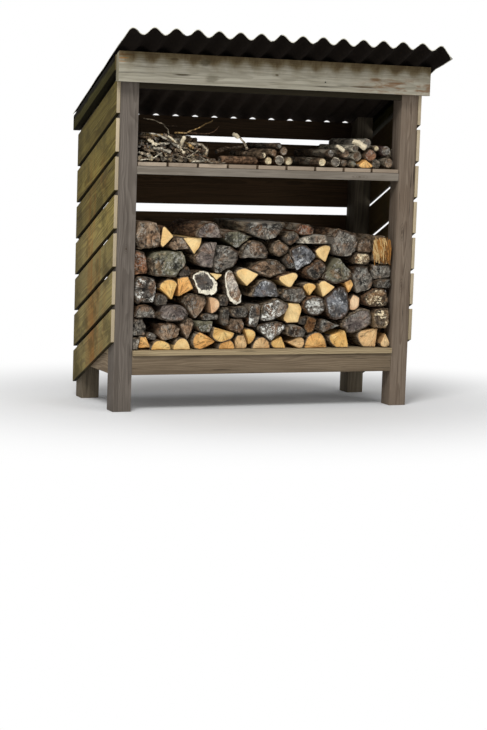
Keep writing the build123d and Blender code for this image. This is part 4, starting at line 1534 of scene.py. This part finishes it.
def add_sky():
    """Soft even light from all round, and a white background."""
    world = bpy.data.worlds.new("studio")
    bpy.context.scene.world = world
    s = Shader(world)
    light = s.take("Background", {"Color": SKY_COLOUR, "Strength": SKY_STRENGTH})
    s.node("OutputWorld", {"Surface": s.white_in_view(1.0, light, "Background")})


def add_lamp(name, place, size, power):
    """A square soft box that points at the middle of the store."""
    data = bpy.data.lights.new(name, "AREA")
    data.size = size
    data.energy = power
    lamp = bpy.data.objects.new(name, data)
    lamp.location = place
    lamp.rotation_euler = (LAMP_TARGET - Vector(place)).to_track_quat("-Z", "Y").to_euler()
    bpy.context.scene.collection.objects.link(lamp)


def add_floor():
    """The plain pale floor."""
    corners = [(-1, -1, 0), (1, -1, 0), (1, 1, 0), (-1, 1, 0)]
    verts = [(x * FLOOR_HALF_WIDTH, y * FLOOR_HALF_WIDTH, z) for x, y, z in corners]
    floor = mesh_object("studio_floor", verts, [(0, 1, 2, 3)])
    floor.data.materials.append(floor_shader())


# Build everything

add_camera()
add_sky()
add_lamp("key", place=(-3.2, -4.0, 5.8), size=2.4, power=300)
add_lamp("fill", place=(3.0, -5.5, 2.0), size=3.0, power=80)
bpy.context.scene.view_settings.view_transform = "Standard"
add_floor()

# The boards by their wood: the slot, the CAD nodes, the tones and what is special about the wood
BOARD_WORK = (
    (
        "post_wood", "post_timber", ("front_left_post",),
        ((110, 102, 94), (72, 65, 58), (128, 116, 98), (88, 80, 73)),
        dict(ring_gap=0.0036, contrast=0.42, extra=front_knots),
    ),
    (
        "right_post_wood", "post_timber", ("front_right_post",),
        ((132, 118, 103), (84, 70, 58), (128, 116, 98), (104, 88, 73)),
        dict(ring_gap=0.0036, contrast=0.5, extra=front_knots),
    ),
    (
        "back_post_wood", "post_timber", ("back_left_post", "back_right_post"),
        ((114, 104, 88), (76, 68, 56), (120, 108, 90), (84, 74, 60)),
        dict(),
    ),
    (
        "header_wood", "weathered_board", ("front_header",),
        ((166, 161, 145), (116, 110, 94), (168, 160, 132), (128, 122, 104)),
        dict(stained=0.45, ring_gap=0.006, contrast=0.35, knots=0.0, extra=header_stains_and_shade),
    ),
    (
        "wall_wood", "wall_timber", ("left_wall_boards", "right_wall_boards"),
        ((140, 125, 68), (82, 68, 33), (196, 180, 152), (90, 76, 40)),
        dict(stained=0.6, contrast=0.65, extra=wall_stains_and_shade),
    ),
    # The rake's tones, darker than the walls' wood, are painted shade from the sheet above it.
    (
        "rake_wood", "wall_timber", ("left_rake", "right_rake"),
        ((66, 62, 34), (40, 36, 17), (106, 92, 62), (40, 35, 16)),
        dict(stained=0.6, extra=rake_painted_shadow, shine=0.04),
    ),
    # The inner wood's dark tones are painted shade of the store's inside.
    (
        "inner_wood", "wall_timber", ("back_wall_boards", "back_top_board", "back_top_beam"),
        ((84, 64, 44), (50, 39, 27), (104, 92, 72), (61, 47, 32)),
        dict(extra=back_shade_and_weathering),
    ),
    (
        "frame_wood", "frame_timber",
        (
            "front_rim", "back_rim", "left_rim", "right_rim",
            "floor_joist_1", "floor_joist_2", "floor_joist_3",
        ),
        ((134, 118, 97), (90, 76, 60), (150, 138, 118), (100, 86, 68)),
        dict(),
    ),
    (
        "floor_wood", "frame_timber", ("floor_boards",),
        ((164, 147, 116), (110, 94, 70), (168, 152, 126), (130, 112, 86)),
        dict(),
    ),
    (
        "rail_wood", "frame_timber", ("front_shelf_rail", "back_shelf_rail"),
        ((130, 122, 111), (84, 77, 67), (160, 148, 128), (100, 92, 82)),
        dict(stained=0.7, extra=front_knots),
    ),
    (
        "shelf_wood", "frame_timber", ("shelf_boards",),
        ((118, 102, 84), (80, 62, 46), (186, 170, 150), (98, 80, 62)),
        dict(),
    ),
    # The beam's near-black tones are painted shade: it lies in the header's shadow.
    (
        "beam_wood", "frame_timber", ("front_top_beam",),
        ((50, 44, 31), (29, 25, 16), (70, 60, 46), (36, 31, 21)),
        dict(),
    ),
)
for name, slot, nodes, tones, special in BOARD_WORK:
    wood = board_shader(name, tones, **special)
    for node in nodes:
        dress_boards(node, wood)
add_roof_sheet()
LOG_MATERIALS = (log_end_shader(), log_side_shader())
add_log_courses(LOG_MATERIALS)
BRANCH_FINISHES = {
    "shelf_branches_lower": ("old_cream", "grey_ring", "brown", "mossy", "whitish", "brown"),
    "shelf_branches_upper": ("lichen", "brown", "whitish", "red_brown", "purplish"),
    "shelf_branches_top": ("whitish", "pale_bark", "old_cream"),
    "shelf_branches_middle": ("old_cream", "grey_ring", "old_cream"),
    "shelf_branches_middle_upper": ("spotted", "brown", "dark", "brown"),
    "shelf_log": ("brown",),
    "kindling_lower": ("stick", "dark", "old_cream", "brown", "grey_ring", "stick", "dark"),
    "kindling_upper": ("dark", "stick", "brown", "pale_bark", "old_cream"),
    "kindling_top": ("brown", "stick", "dark"),
}
for seed, (node, finishes) in enumerate(BRANCH_FINISHES.items()):
    add_branches(node, finishes, LOG_MATERIALS, 70 + seed)
add_shelf_split_log(LOG_MATERIALS)
add_loose_twigs(LOG_MATERIALS)
